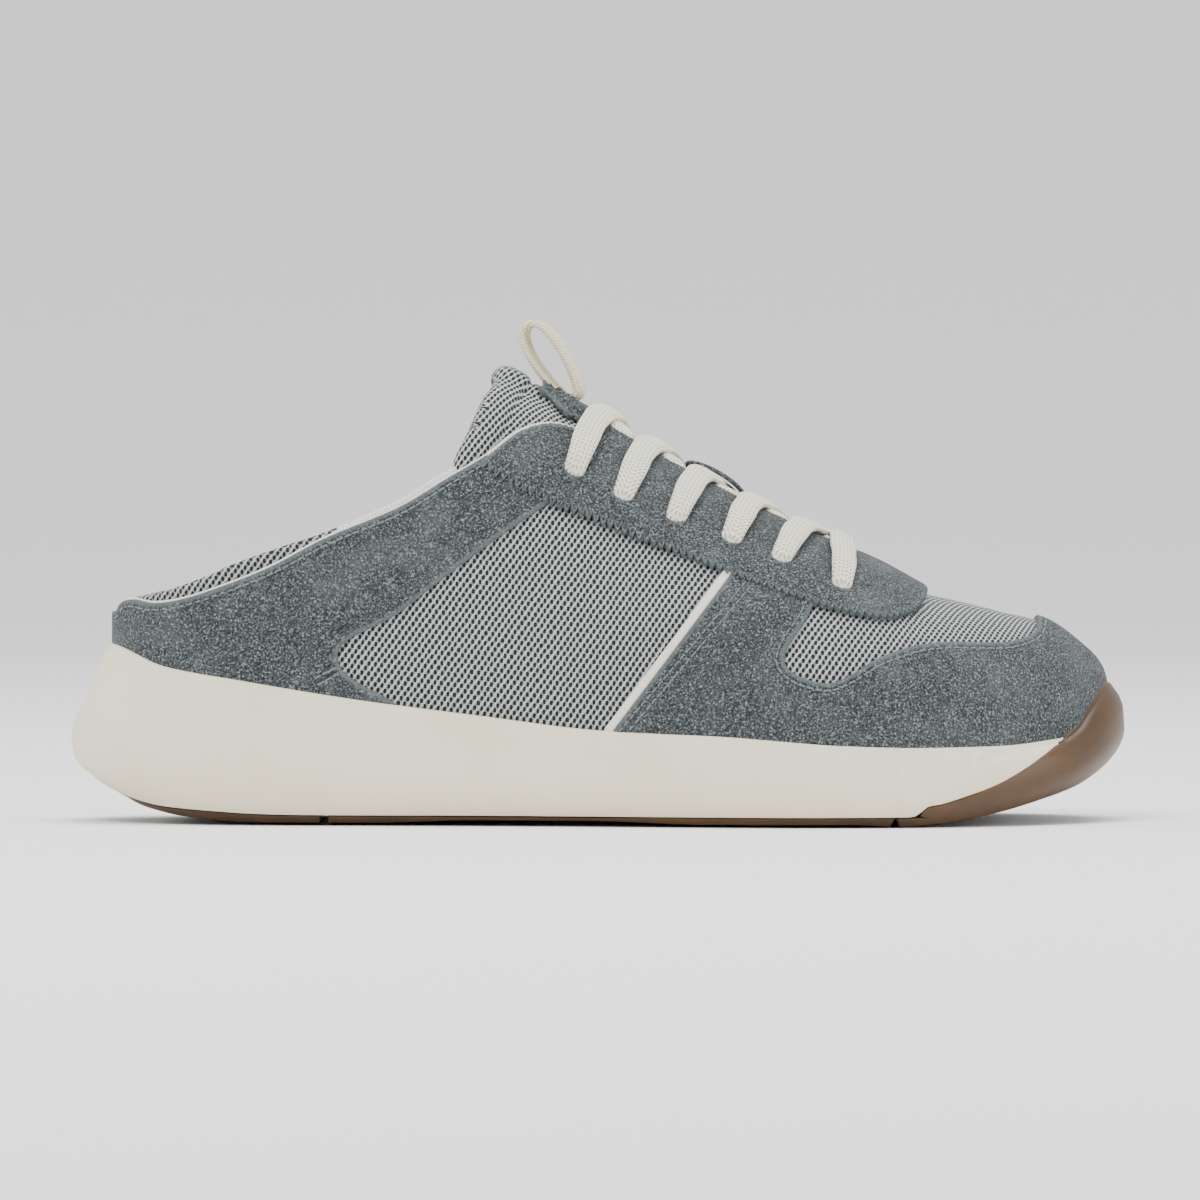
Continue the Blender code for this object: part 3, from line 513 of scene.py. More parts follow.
class Cloth:
    """A sheet over a patch: open mesh that is cut, turned over at its edges and finished."""

    LAYER = "cloth"

    def __init__(self, patch: Patch, offset: np.ndarray) -> None:
        """Lays the sheet.

        Args:
            patch: Grid it lies on.
            offset: Height over each point of the grid.
        """
        rows, columns = patch.points.shape[:2]
        self.bm = bmesh.new()
        self.data = self.bm.verts.layers.float_vector.new(self.LAYER)
        self.away = self.bm.verts.layers.float.new("away")
        bmesh.ops.create_grid(
            self.bm, x_segments=rows - 1, y_segments=columns - 1, size=0.5, calc_uvs=False
        )
        places = patch.points + np.broadcast_to(offset, (rows, columns))[..., None] * patch.normals
        for vertex in self.bm.verts:
            i = round((vertex.co.x + 0.5) * (rows - 1))
            j = round((vertex.co.y + 0.5) * (columns - 1))
            vertex.co = places[i, j]
            vertex[self.data] = (patch.warp[i, j] / MM, patch.weft[i, j] / MM, 20.0)
        bmesh.ops.remove_doubles(self.bm, verts=self.bm.verts, dist=1e-6)
        bmesh.ops.recalc_face_normals(self.bm, faces=self.bm.faces)
        self.face_outwards(patch)

    def face_outwards(self, patch: Patch) -> None:
        """Turns the sheet so that its faces look away from the last.

        Args:
            patch: Grid it lies on.
        """
        i, j = patch.points.shape[0] // 2, patch.points.shape[1] // 3
        place = Vector(patch.points[i, j])
        nearest = min(self.bm.faces, key=lambda face: (face.calc_center_median() - place).length)
        if nearest.normal.dot(Vector(patch.normals[i, j])) < 0:
            bmesh.ops.reverse_faces(self.bm, faces=self.bm.faces)

    def cut(self, distance: Distance, edged: bool = True) -> None:
        """Keeps what lies at a positive distance, with a clean edge where the distance is nought.

        Args:
            distance: Signed distance of places.
            edged: Whether the distance counts as the distance to the cloth's edge.
        """
        bm, away = self.bm, self.away
        places = np.array([vertex.co[:] for vertex in bm.verts])
        for vertex, value in zip(bm.verts, distance(places)):
            vertex[away] = value
        marked = set()
        crossed = [e for e in bm.edges if e.verts[0][away] * e.verts[1][away] < 0]
        shares = {e: e.verts[0][away] / (e.verts[0][away] - e.verts[1][away]) for e in crossed}
        for edge in sorted(crossed, key=lambda e: min(shares[e], 1 - shares[e])):
            share = shares[edge]
            a, b = edge.verts
            if min(share, 1 - share) < 0.2 and a[away] * b[away] < 0:
                near = a if share < 0.5 else b
                near.co, near[self.data] = self.between(a, b, share)
                near[away] = 0.0
                marked.add(near)
        for edge in [e for e in crossed if e.verts[0][away] * e.verts[1][away] < 0]:
            a, b = edge.verts
            place, data = self.between(a, b, shares[edge])
            _, vertex = bmesh.utils.edge_split(edge, a, shares[edge])
            vertex.co, vertex[self.data], vertex[away] = place, data, 0.0
            marked.add(vertex)
        bmesh.ops.connect_verts(bm, verts=list(marked))
        outside = []
        for face in bm.faces:
            value = sum(vertex[away] for vertex in face.verts)
            if value == 0.0:
                value = distance(np.array([face.calc_center_median()[:]]))[0]
            if value < 0:
                outside.append(face)
        bmesh.ops.delete(bm, geom=outside, context="FACES")
        if edged:
            for vertex in bm.verts:
                warp, weft, edge = vertex[self.data]
                vertex[self.data] = (warp, weft, min(edge, vertex[away] / MM))

    def between(
        self, a: bmesh.types.BMVert, b: bmesh.types.BMVert, share: float
    ) -> tuple[Vector, Vector]:
        """Finds a place on an edge."""
        return a.co.lerp(b.co, share), a[self.data].lerp(b[self.data], share)

    def roll(
        self,
        radius: Callable[[bmesh.types.BMVert], float],
        turned: float,
        steps: int,
        drop: float = 0.0,
    ) -> None:
        """Turns the free edges over.

        Args:
            radius: Radius of the turn at a vertex.
            turned: Angle of the turn.
            steps: Steps it is made in.
            drop: Length of the straight skirt after the turn.
        """
        bm = self.bm
        bm.normal_update()
        edges = [edge for edge in bm.edges if edge.is_boundary]
        outward: dict[bmesh.types.BMVert, Vector] = {}
        for edge in edges:
            face = edge.link_faces[0]
            a, b = edge.verts
            aside = (b.co - a.co).cross(face.normal).normalized()
            if aside.dot((a.co + b.co) / 2 - face.calc_center_median()) < 0:
                aside.negate()
            for vertex in edge.verts:
                outward[vertex] = outward.get(vertex, Vector()) + aside
        rims = {
            vertex: (vertex, aside.normalized(), vertex.normal.copy(), radius(vertex))
            for vertex, aside in outward.items()
        }
        origins = {vertex: (vertex.co.copy(), vertex[self.data].copy()) for vertex in rims}
        slopes = {vertex: self.slope(vertex, rims[vertex][1]) for vertex in rims}
        spots = [(turned * k / steps, 0.0) for k in range(1, steps + 1)]
        if drop:
            spots.append((turned, drop))
        for angle, fall in spots:
            grown = bmesh.ops.extrude_edge_only(bm, edges=edges)["geom"]
            fresh = {}
            for vertex in (item for item in grown if isinstance(item, bmesh.types.BMVert)):
                sources = (edge.other_vert(vertex) for edge in vertex.link_edges)
                fresh[vertex] = rims[next(source for source in sources if source in rims)]
            for vertex, (origin, aside, normal, size) in fresh.items():
                out = size * math.sin(angle)
                down = size * (1 - math.cos(angle)) + fall
                place, data = origins[origin]
                vertex.co = place + out * aside - down * normal
                vertex[self.data] = data + (size * angle + fall) * slopes[origin]
            rims = fresh
            edges = [e for e in grown if isinstance(e, bmesh.types.BMEdge) and e.is_boundary]

    def margin(self, face: bmesh.types.BMFace) -> float:
        """Reads how far a face lies from the cloth's edge."""
        return sum(vertex[self.data].z for vertex in face.verts) / len(face.verts)

    def slope(self, vertex: bmesh.types.BMVert, aside: Vector) -> Vector:
        """Works out how the cloth data would go on past an edge.

        Args:
            vertex: Vertex on the edge.
            aside: Direction out of the cloth.

        Returns:
            Change of the data for each metre.
        """
        total = Vector()
        for edge in vertex.link_edges:
            other = edge.other_vert(vertex)
            step = vertex.co - other.co
            if step.dot(aside) > 0.5 * step.length:
                change = vertex[self.data] - other[self.data]
                total += Vector((change.x, change.y, 0.0)) / step.length
        return total.normalized() / MM

    def back(self, thickness: Callable[[bmesh.types.BMVert], float], steps: int) -> None:
        """Gives the sheet a back face and rounds its edges over to it.

        Args:
            thickness: Thickness at a vertex.
            steps: Steps of the rounding.
        """
        bm = self.bm
        bm.normal_update()
        depth = {vertex: thickness(vertex) for vertex in bm.verts}
        normals = {vertex: vertex.normal.copy() for vertex in bm.verts}
        geometry = [*bm.verts, *bm.edges, *bm.faces]
        self.roll(lambda vertex: depth[vertex] / 2, math.pi, steps)
        copied = bmesh.ops.duplicate(bm, geom=geometry)
        twins = copied["vert_map"]
        for vertex, size in depth.items():
            twins[vertex].co = vertex.co - size * normals[vertex]
        faces = [item for item in copied["geom"] if isinstance(item, bmesh.types.BMFace)]
        bmesh.ops.reverse_faces(bm, faces=faces)
        bmesh.ops.remove_doubles(bm, verts=bm.verts, dist=2e-5)

    def tree(self) -> BVHTree:
        """Makes the sheet ready to be found by rays."""
        return BVHTree.FromBMesh(self.bm)


def linear(colour: str) -> tuple[float, float, float, float]:
    """Turns an sRGB colour into a linear one.

    Args:
        colour: Colour as #rrggbb.

    Returns:
        Linear red, green and blue, with full opacity.
    """
    channels = [int(colour[k : k + 2], 16) / 255 for k in (1, 3, 5)]
    red, green, blue = (
        channel / 12.92 if channel <= 0.04045 else ((channel + 0.055) / 1.055) ** 2.4
        for channel in channels
    )
    return red, green, blue, 1.0


class Graph:
    """The node tree of one material, with short ways to add to it."""

    def __init__(self, name: str, roughness: float) -> None:
        """Starts a material.

        Args:
            name: Name of the material.
            roughness: Roughness of its surface.
        """
        self.material = bpy.data.materials.new(name)
        self.material.use_nodes = True
        self.tree: NodeTree = self.material.node_tree
        self.shader = self.tree.nodes["Principled BSDF"]
        self.shader.inputs["Roughness"].default_value = roughness
        self.shader.inputs["IOR"].default_value = 1.5

    def add(self, kind: str, settings: dict, inputs: dict) -> bpy.types.Node:
        """Adds a node.

        Args:
            kind: Type of the node.
            settings: Its properties.
            inputs: A value or a socket to link for each of its inputs.

        Returns:
            The node.
        """
        node = self.tree.nodes.new(kind)
        for name, value in settings.items():
            setattr(node, name, value)
        for name, value in inputs.items():
            if isinstance(value, NodeSocket):
                self.tree.links.new(value, node.inputs[name])
            else:
                node.inputs[name].default_value = value
        return node

    def math(self, operation: str, *values: NodeSocket | float) -> NodeSocket:
        """Adds a calculation."""
        inputs = dict(enumerate(values))
        return self.add("ShaderNodeMath", {"operation": operation}, inputs).outputs[0]

    def wave(self, value: NodeSocket, pitch: float) -> NodeSocket:
        """Adds a cosine wave."""
        return self.math("COSINE", self.math("MULTIPLY", value, 2 * math.pi / pitch))

    def ramp(self, value: NodeSocket, start: float, end: float) -> NodeSocket:
        """Adds a smooth step.

        Args:
            value: Where it is read.
            start: Value at which it leaves 0.
            end: Value at which it reaches 1.

        Returns:
            The step.
        """
        inputs = {"Value": value, "From Min": start, "From Max": end}
        settings = {"interpolation_type": "SMOOTHSTEP"}
        return self.add("ShaderNodeMapRange", settings, inputs).outputs["Result"]

    def mix(
        self, share: NodeSocket | float, start: NodeSocket | str, end: NodeSocket | str
    ) -> NodeSocket:
        """Adds a mix of two colours.

        Args:
            share: Share of the second colour.
            start: First colour, as a socket or #rrggbb.
            end: Second colour.

        Returns:
            The mixed colour.
        """
        node = self.add("ShaderNodeMix", {"data_type": "RGBA"}, {0: share})
        for index, colour in ((6, start), (7, end)):
            if isinstance(colour, NodeSocket):
                self.tree.links.new(colour, node.inputs[index])
            else:
                node.inputs[index].default_value = linear(colour)
        return node.outputs[2]

    def cloth(self) -> tuple[NodeSocket, NodeSocket, NodeSocket]:
        """Reads the cloth data.

        Returns:
            Place along the cloth, place across it and distance to its edge, in mm.
        """
        data = self.add("ShaderNodeAttribute", {"attribute_name": Cloth.LAYER}, {})
        parts = self.add("ShaderNodeSeparateXYZ", {}, {0: data.outputs["Vector"]})
        return parts.outputs[0], parts.outputs[1], parts.outputs[2]

    def noise(self, grain: float, detail: float, roughness: float) -> NodeSocket:
        """Adds noise on object coordinates.

        Args:
            grain: Size of its largest grains, in mm.
            detail: Octaves of finer grains.
            roughness: Weight of the finer grains.

        Returns:
            The noise, about 0.5.
        """
        place = self.add("ShaderNodeTexCoord", {}, {}).outputs["Object"]
        inputs = {"Vector": place, "Scale": 1000 / grain, "Detail": detail, "Roughness": roughness}
        return self.add("ShaderNodeTexNoise", {}, inputs).outputs[0]

    def bump(self, height: NodeSocket, depth: float, strength: float) -> None:
        """Gives the surface a relief, on top of what it has.

        Args:
            height: Height of the relief.
            depth: Depth of a height of 1, in mm.
            strength: How much of it is felt.
        """
        inputs = {"Height": height, "Distance": depth * MM, "Strength": strength}
        normal = self.shader.inputs["Normal"]
        if normal.is_linked:
            inputs["Normal"] = normal.links[0].from_socket
        node = self.add("ShaderNodeBump", {}, inputs)
        self.tree.links.new(node.outputs[0], normal)

    def colour(self, colour: NodeSocket | str) -> None:
        """Sets the base colour.

        Args:
            colour: Colour, as a socket or #rrggbb.
        """
        socket = self.shader.inputs["Base Color"]
        if isinstance(colour, NodeSocket):
            self.tree.links.new(colour, socket)
        else:
            socket.default_value = linear(colour)

    def sheen(self, weight: float, colour: str) -> None:
        """Gives the surface the sheen of fibres.

        Args:
            weight: Weight of the sheen.
            colour: Its tint.
        """
        self.shader.inputs["Sheen Weight"].default_value = weight
        self.shader.inputs["Sheen Roughness"].default_value = 0.5
        self.shader.inputs["Sheen Tint"].default_value = linear(colour)


@dataclass(frozen=True)
class Suede:
    """Brushed suede: a speckled nap with cloudier patches, and a painted highlight that makes it paler
    along its turned edge.
    """

    name: str = "brushed suede"
    low: str = "#0f1112"
    middle: str = "#3b4143"
    high: str = "#889193"
    # Colour of the painted highlight along the turned edges
    edge: str = "#626a6c"
    seam_at: float = 1.9
    # Coarser than real nap, so that it shows in a view of the whole shoe
    nap: float = 0.55
    clouds: float = 14.0
    scuffs: float = 3.2

    def build(self) -> Material:
        """Makes the material.

        Returns:
            The material.
        """
        graph = Graph(self.name, 0.95)
        nap = graph.noise(self.nap, 3.0, 0.65)
        clouds = graph.noise(self.clouds, 3.0, 0.6)
        scuffs = graph.noise(self.scuffs, 3.0, 0.6)
        shade = graph.mix(graph.ramp(nap, 0.36, 0.52), self.low, self.middle)
        shade = graph.mix(graph.ramp(nap, 0.53, 0.68), shade, self.high)
        pale = graph.math("MULTIPLY", graph.ramp(clouds, 0.45, 0.75), 0.12)
        shade = graph.mix(pale, shade, self.high)
        dark = graph.math("MULTIPLY", graph.ramp(scuffs, 0.52, 0.30), 0.15)
        shade = graph.mix(dark, shade, self.low)
        edge = graph.cloth()[2]
        # Painted highlight: paler within a millimetre of the edge, where the turned edge catches the
        # light
        edge_highlight = graph.math("MULTIPLY", graph.ramp(edge, 0.9, 0.1), 0.55)
        graph.colour(graph.mix(edge_highlight, shade, self.edge))
        away = graph.math("ABSOLUTE", graph.math("SUBTRACT", edge, self.seam_at))
        graph.bump(graph.ramp(away, 0.0, 1.1), 0.35, 0.6)
        graph.bump(nap, 0.6, 0.8)
        graph.sheen(0.08, self.high)
        return graph.material


@dataclass(frozen=True)
class Mesh:
    """Knitted mesh: staggered holes filled with painted shade, between slanting ribs lit by a painted
    highlight.
    """

    name: str = "knitted mesh"
    # Painted shade in the holes of the knit
    hole_shade: str = "#060707"
    yarn: str = "#707775"
    # Painted highlight on the raised ribs
    rib_highlight: str = "#a9b0ad"
    pitch: float = 1.80
    row: float = 2.70
    wobble: float = 3.0
    # Coarser than real fibres, which are too fine for a pixel
    fibres: float = 0.35

    def build(self) -> Material:
        """Makes the material.

        Returns:
            The material.
        """
        graph = Graph(self.name, 0.85)
        warp, weft, _ = graph.cloth()
        wobble = graph.math("MULTIPLY", graph.noise(self.wobble, 2.0, 0.5), 0.8)
        warp = graph.math("ADD", warp, wobble)
        holes = graph.math("MULTIPLY", graph.wave(warp, self.pitch), graph.wave(weft, self.row))
        slant = graph.math(
            "SUBTRACT",
            graph.math("MULTIPLY", warp, 1 / self.pitch),
            graph.math("MULTIPLY", weft, 1 / self.row),
        )
        ribs = graph.wave(slant, 1.0)
        fibres = graph.noise(self.fibres, 2.0, 0.6)
        # Paler along the slanting ribs: a painted highlight
        shade = graph.mix(graph.ramp(ribs, 0.35, -0.75), self.yarn, self.rib_highlight)
        shade = graph.mix(graph.math("MULTIPLY", graph.ramp(fibres, 0.5, 0.8), 0.3), shade, self.rib_highlight)
        # Near black in the holes: painted shade
        dark = graph.ramp(holes, 0.02, 0.20)
        graph.colour(graph.mix(dark, shade, self.hole_shade))
        relief = graph.math("SUBTRACT", graph.ramp(ribs, 0.9, -0.9), graph.ramp(holes, 0.1, 0.8))
        graph.bump(relief, 0.30, 0.8)
        graph.sheen(0.1, self.rib_highlight)
        return graph.material


@dataclass(frozen=True)
class Foam:
    """Moulded foam with a fine diagonal weave pressed into it."""

    name: str = "moulded foam"
    colour: str = "#e9dfc6"
    shade: str = "#e2d8be"
    pitch: float = 0.75
    clouds: float = 20.0

    def build(self) -> Material:
        """Makes the material.

        Returns:
            The material.
        """
        graph = Graph(self.name, 0.62)
        warp, weft, _ = graph.cloth()
        one = graph.wave(graph.math("ADD", warp, weft), self.pitch)
        other = graph.wave(graph.math("SUBTRACT", warp, weft), self.pitch)
        weave = graph.math("MULTIPLY", one, other)
        clouds = graph.noise(self.clouds, 3.0, 0.5)
        graph.colour(graph.mix(graph.ramp(clouds, 0.3, 0.8), self.colour, self.shade))
        graph.bump(weave, 0.05, 0.7)
        graph.shader.inputs["Subsurface Weight"].default_value = 0.05
        graph.shader.inputs["Subsurface Radius"].default_value = (0.004, 0.003, 0.002)
        return graph.material


@dataclass(frozen=True)
class Gum:
    """Satin gum rubber with a fine grain."""

    name: str = "gum rubber"
    light: str = "#4b3009"
    dark: str = "#392306"
    fleck: str = "#634517"
    # Coarser than the real grain of moulded rubber
    grain: float = 0.5
    clouds: float = 18.0

    def build(self) -> Material:
        """Makes the material.

        Returns:
            The material.
        """
        graph = Graph(self.name, 0.42)
        grain = graph.noise(self.grain, 3.0, 0.6)
        clouds = graph.noise(self.clouds, 3.0, 0.5)
        shade = graph.mix(graph.ramp(clouds, 0.3, 0.75), self.dark, self.light)
        flecks = graph.math("MULTIPLY", graph.ramp(grain, 0.5, 0.8), 0.15)
        graph.colour(graph.mix(flecks, shade, self.fleck))
        graph.bump(grain, 0.05, 0.4)
        return graph.material


@dataclass(frozen=True)
class Woven:
    """Woven cotton: yarns that slant up from the middle of a tape to both its sides, with painted shade
    in the grooves between them.
    """

    name: str
    light: str
    # Colour of the painted shade in the grooves between the yarns
    dark: str
    pitch: float
    lean: float
    depth: float = 0.22
    # Coarser than real cotton fluff, which is too fine for a pixel
    fuzz: float = 0.4

    def build(self) -> Material:
        """Makes the material.

        Returns:
            The material.
        """
        graph = Graph(self.name, 0.9)
        warp, weft, _ = graph.cloth()
        side = graph.math("ABSOLUTE", weft)
        yarns = graph.wave(
            graph.math("ADD", warp, graph.math("MULTIPLY", side, self.lean)), self.pitch
        )
        ribs = graph.wave(weft, self.pitch * 0.9)
        relief = graph.math("MULTIPLY", graph.math("ADD", yarns, graph.math("MULTIPLY", ribs, 0.6)), 0.6)
        fuzz = graph.noise(self.fuzz, 3.0, 0.7)
        # Darker where the relief is low: painted shade in the grooves
        graph.colour(graph.mix(graph.ramp(relief, 0.1, -0.9), self.light, self.dark))
        graph.bump(relief, self.depth, 0.9)
        graph.bump(fuzz, 0.12, 0.4)
        graph.sheen(0.15, self.light)
        return graph.material


@dataclass(frozen=True)
class Plain:
    """One even colour with a faint grain."""

    name: str
    colour: str
    roughness: float
    grain: float = 0.5

    def build(self) -> Material:
        """Makes the material.

        Returns:
            The material.
        """
        graph = Graph(self.name, self.roughness)
        graph.colour(self.colour)
        graph.bump(graph.noise(self.grain, 3.0, 0.6), 0.08, 0.4)
        return graph.material


class Wardrobe:
    """Every material of the shoe, made once."""

    def __init__(self) -> None:
        """Makes the materials."""
        # Dark speckled nap, made paler along its turned edges by a painted highlight: overlays, eyestay,
        # keeper and tongue patch
        self.suede = Suede().build()
        # Grey knit full of small holes of painted shade, with a painted highlight on its ribs: windows,
        # tongue and the roll over the heel
        self.mesh = Mesh().build()
        # Warm cream, matt and faintly woven: midsole
        self.foam = Foam().build()
        # Brown with a satin shine: outsole and toe bumper
        self.gum = Gum().build()
        # Chalky cream braid with slanting yarns and painted shade between them: lace
        self.lace = Woven("lace cotton", "#ebe6d4", "#aaa48c", 1.25, 0.9).build()
        # Darker cream tape with fine yarns and painted shade between them: pull loop
        self.webbing = Woven("loop webbing", "#dcd4b8", "#a39a78", 0.8, 0.5, 0.08).build()
        # Pale grey knit with painted shade between its yarns: inside of the upper, the tongue and the
        # collar
        self.lining = Woven("knitted lining", "#e0dfd6", "#adaca0", 0.9, 0.6, 0.1).build()
        # Smooth pale band beside the dark suede: edge strips
        self.tape = Plain("smooth edge tape", "#dcd8c8", 0.6).build()
        # Dull warm grey: footbed
        self.insole = Plain("brushed insole cloth", "#c6c2b4", 0.95).build()
        # Mid grey that stands out a little from the suede: seams
        self.thread = Plain("seam thread", "#6e7679", 0.8, 0.2).build()


def smooth_object(name: str, bm: bmesh.types.BMesh, materials: list[Material]) -> Object:
    """Turns a mesh into a smooth object of the scene.

    Args:
        name: Name of the object.
        bm: Its mesh, which is freed.
        materials: Its materials, by face index.

    Returns:
        The object.
    """
    mesh = bpy.data.meshes.new(name)
    bm.to_mesh(mesh)
    bm.free()
    for material in materials:
        mesh.materials.append(material)
    mesh.shade_smooth()
    piece = bpy.data.objects.new(name, mesh)
    bpy.context.scene.collection.objects.link(piece)
    log.info("%s: %d faces", name, len(mesh.polygons))
    return piece


def add_piece(
    name: str, cloth: Cloth, materials: list[Material], nodes: tuple[str, ...]
) -> Object:
    """Turns a finished sheet into an object that rides on the shoe.

    Args:
        name: Name of the object.
        cloth: The sheet.
        materials: Its materials, by face index.
        nodes: CAD nodes it stands for.

    Returns:
        The object.
    """
    bmesh.ops.triangulate(cloth.bm, faces=[f for f in cloth.bm.faces if len(f.verts) > 4])
    cloth.bm.verts.layers.float.remove(cloth.away)
    piece = smooth_object(name, cloth.bm, materials)
    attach(piece, "root")
    if nodes:
        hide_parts(*nodes)
    return piece


@dataclass
class Sole:
    """Foam midsole, gum outsole with its toe bumper, and the insole, in metres."""

    last: Last
    ledge: float = 0.0023
    flare: float = 0.0102
    gum_inset: float = 0.0008
    bumper_rise: float = 0.0140
    lip: float = 0.0009
    groove_width: float = 0.0013
    groove_depth: float = 0.0020
    grooves: tuple[float, float] = (0.212, 0.782)
    rows: int = 240
    bed_inset: float = 0.0042
    bed_thickness: float = 0.0040
    bed_lift: float = 0.0012

    def stations(self) -> np.ndarray:
        """Spaces the rows, with extra ones at the grooves.

        Returns:
            Stations in order.
        """
        spots = [even_stations(self.rows, 0.0, 1.0)]
        half = self.groove_width / 2
        for station in self.grooves:
            edges = np.array([-half - 5e-5, -half + 5e-5, half - 5e-5, half + 5e-5])
            spots.append(station + edges / self.last.length)
        return np.sort(np.concatenate(spots))

    def column(self, stations: np.ndarray, foot: np.ndarray, normal: np.ndarray) -> np.ndarray:
        """Draws the profile of one side, from the ground to under the upper.

        Args:
            stations: Station of each row.
            foot: Foot of the last in each row.
            normal: Direction away from it.

        Returns:
            Points, by row and height.
        """
        last = self.last
        outward = normal * (1.0, 1.0, 0.0)
        outward /= np.linalg.norm(outward, axis=1)[:, None]
        shares = np.array(
            [0, 0.03, 0.06, 0.09, 0.13, 0.18, 0.26, 0.33, 0.4, 0.5, 0.6, 0.7, 0.8, 0.88, 0.94]
        )
        heel, toe = along(SIDE, 1, shares), along(SIDE, 2, shares)
        toe_share = fade(stations, 0.80, 0.95)[:, None]
        ledge = self.ledge * along(FLARE, 1, stations)
        flare = self.flare * along(FLARE, 2, stations)[:, None]
        out = ledge[:, None] + flare * (heel + (toe - heel) * toe_share)
        places = foot[:, None] + outward[:, None] * out[..., None]
        bottom = last.forefoot_stack * along(UNDERSIDE, 1, last.station(places[:, 0, 0]))
        edge = last.station((foot + outward * ledge[:, None])[:, 0])
        top = last.rim(edge) + self.bumper_rise * along(BUMPER, 1, edge)
        places[..., 2] = bottom[:, None] + shares * (top - bottom)[:, None]
        turns = np.linspace(0.0, np.pi / 2, 5)
        lip = ledge[:, None] - self.lip * (1 - np.cos(turns))
        corner = foot[:, None] + outward[:, None] * lip[..., None]
        corner[..., 2] = top[:, None] - self.lip * (1 - np.sin(turns))
        reaches = np.linspace(0.0, 0.024, 60)
        inward = foot[:, None] - outward[:, None] * reaches[:, None]
        heights = last.over(last.station(inward[..., 0]), inward[..., 1])[..., 2]
        met = reaches[np.argmax(heights >= top[:, None], axis=1)]
        under = np.stack([met * 0.5, met + 0.0012], axis=1)
        tucked = foot[:, None] - outward[:, None] * under[..., None]
        tucked[..., 2] = top[:, None] - (0.0, 0.0004)
        return np.concatenate([places, corner, tucked], axis=1)

    def patch(self) -> Patch:
        """Draws the whole skin of the sole, from one side under the shoe to the other.

        Returns:
            The grid.
        """
        stations = self.stations()
        skin = self.last.patch(stations, 65, (0.0, 1.0))
        lateral = self.column(stations, skin.points[:, 0], skin.normals[:, 0])
        medial = self.column(stations, skin.points[:, -1], skin.normals[:, -1])
        shares = np.linspace(0.0, 1.0, 18)[1:-1]
        under = medial[:, :1] + (lateral[:, :1] - medial[:, :1]) * shares[:, None]
        points = np.concatenate([medial[:, ::-1], under, lateral], axis=1)
        for station in self.grooves:
            near = np.abs(points[..., 0] - self.last.x(station)) < self.groove_width / 2
            low = near & (points[..., 2] < self.groove_depth)
            points[..., 2] = np.where(low, self.groove_depth, points[..., 2])
        normals = Last.normals(points, stations)
        return Patch(points, normals, stations, spans(points, 0), spans(points, 1))

    def above_gum(self, places: np.ndarray) -> np.ndarray:
        """Measures how far places lie over the gum line.

        Args:
            places: The places.

        Returns:
            Distances, negative under the line.
        """
        table = np.array(GUM_LINE)
        line = np.stack([self.last.x(table[:, 0]), table[:, 1] * self.last.forefoot_stack], 1)
        line = smooth(line, 6)
        corners = [(line[-1, 0] + 0.1, line[-1, 1] + 0.2), (-0.3, line[-1, 1] + 0.2), (-0.3, line[0, 1])]
        return inside_distance(places[:, [0, 2]], np.concatenate([line, corners]))

    def build(self, wardrobe: Wardrobe) -> None:
        """Makes the midsole, the outsole and the insole.

        Args:
            wardrobe: The materials.
        """
        patch = self.patch()
        foam = Cloth(patch, np.zeros(1))
        foam.cut(lambda places: self.above_gum(places) - 0.0005)
        foam.roll(lambda vertex: 0.0004, math.pi / 2, 3, 0.0004)
        add_piece("midsole_foam", foam, [wardrobe.foam], ("midsole",))
        inset = self.gum_inset * (1 - fade(patch.stations, 0.74, 0.80))
        gum = Cloth(patch, (0.0002 * fade(patch.stations, 0.8, 0.9) - inset)[:, None])
        gum.cut(lambda places: -self.above_gum(places) - 0.0004)
        gum.roll(lambda vertex: 0.0004, math.pi / 2, 3, 0.0004)
        add_piece("gum_outsole", gum, [wardrobe.gum], ("outsole",))
        self.build_insole(wardrobe)

    def build_insole(self, wardrobe: Wardrobe) -> None:
        """Makes the footbed.

        Args:
            wardrobe: The materials.
        """
        stations = even_stations(140, 0.0, 1.0)
        skin = self.last.patch(stations, 65, (0.0, 1.0))
        sides = [skin.points[:, k] - self.bed_inset * skin.normals[:, k] for k in (0, -1)]
        shares = np.linspace(0.0, 1.0, 33)
        points = sides[0][:, None] + (sides[1] - sides[0])[:, None] * shares[:, None]
        seat = self.last.rim(self.last.station(points[..., 0])) - self.last.seat_depth
        floor = seat + self.last.gap + self.bed_thickness
        points[..., 2] = floor + self.bed_lift * np.abs(2 * shares - 1) ** 4
        normals = np.zeros_like(points)
        normals[..., 2] = 1.0
        data = [points[..., k] for k in (0, 1)]
        bed = Cloth(Patch(points, normals, stations, *data), np.zeros(1))
        bed.roll(lambda vertex: 0.0012, math.pi / 2, 4, 0.002)
        add_piece("cloth_insole", bed, [wardrobe.insole], ("insole",))


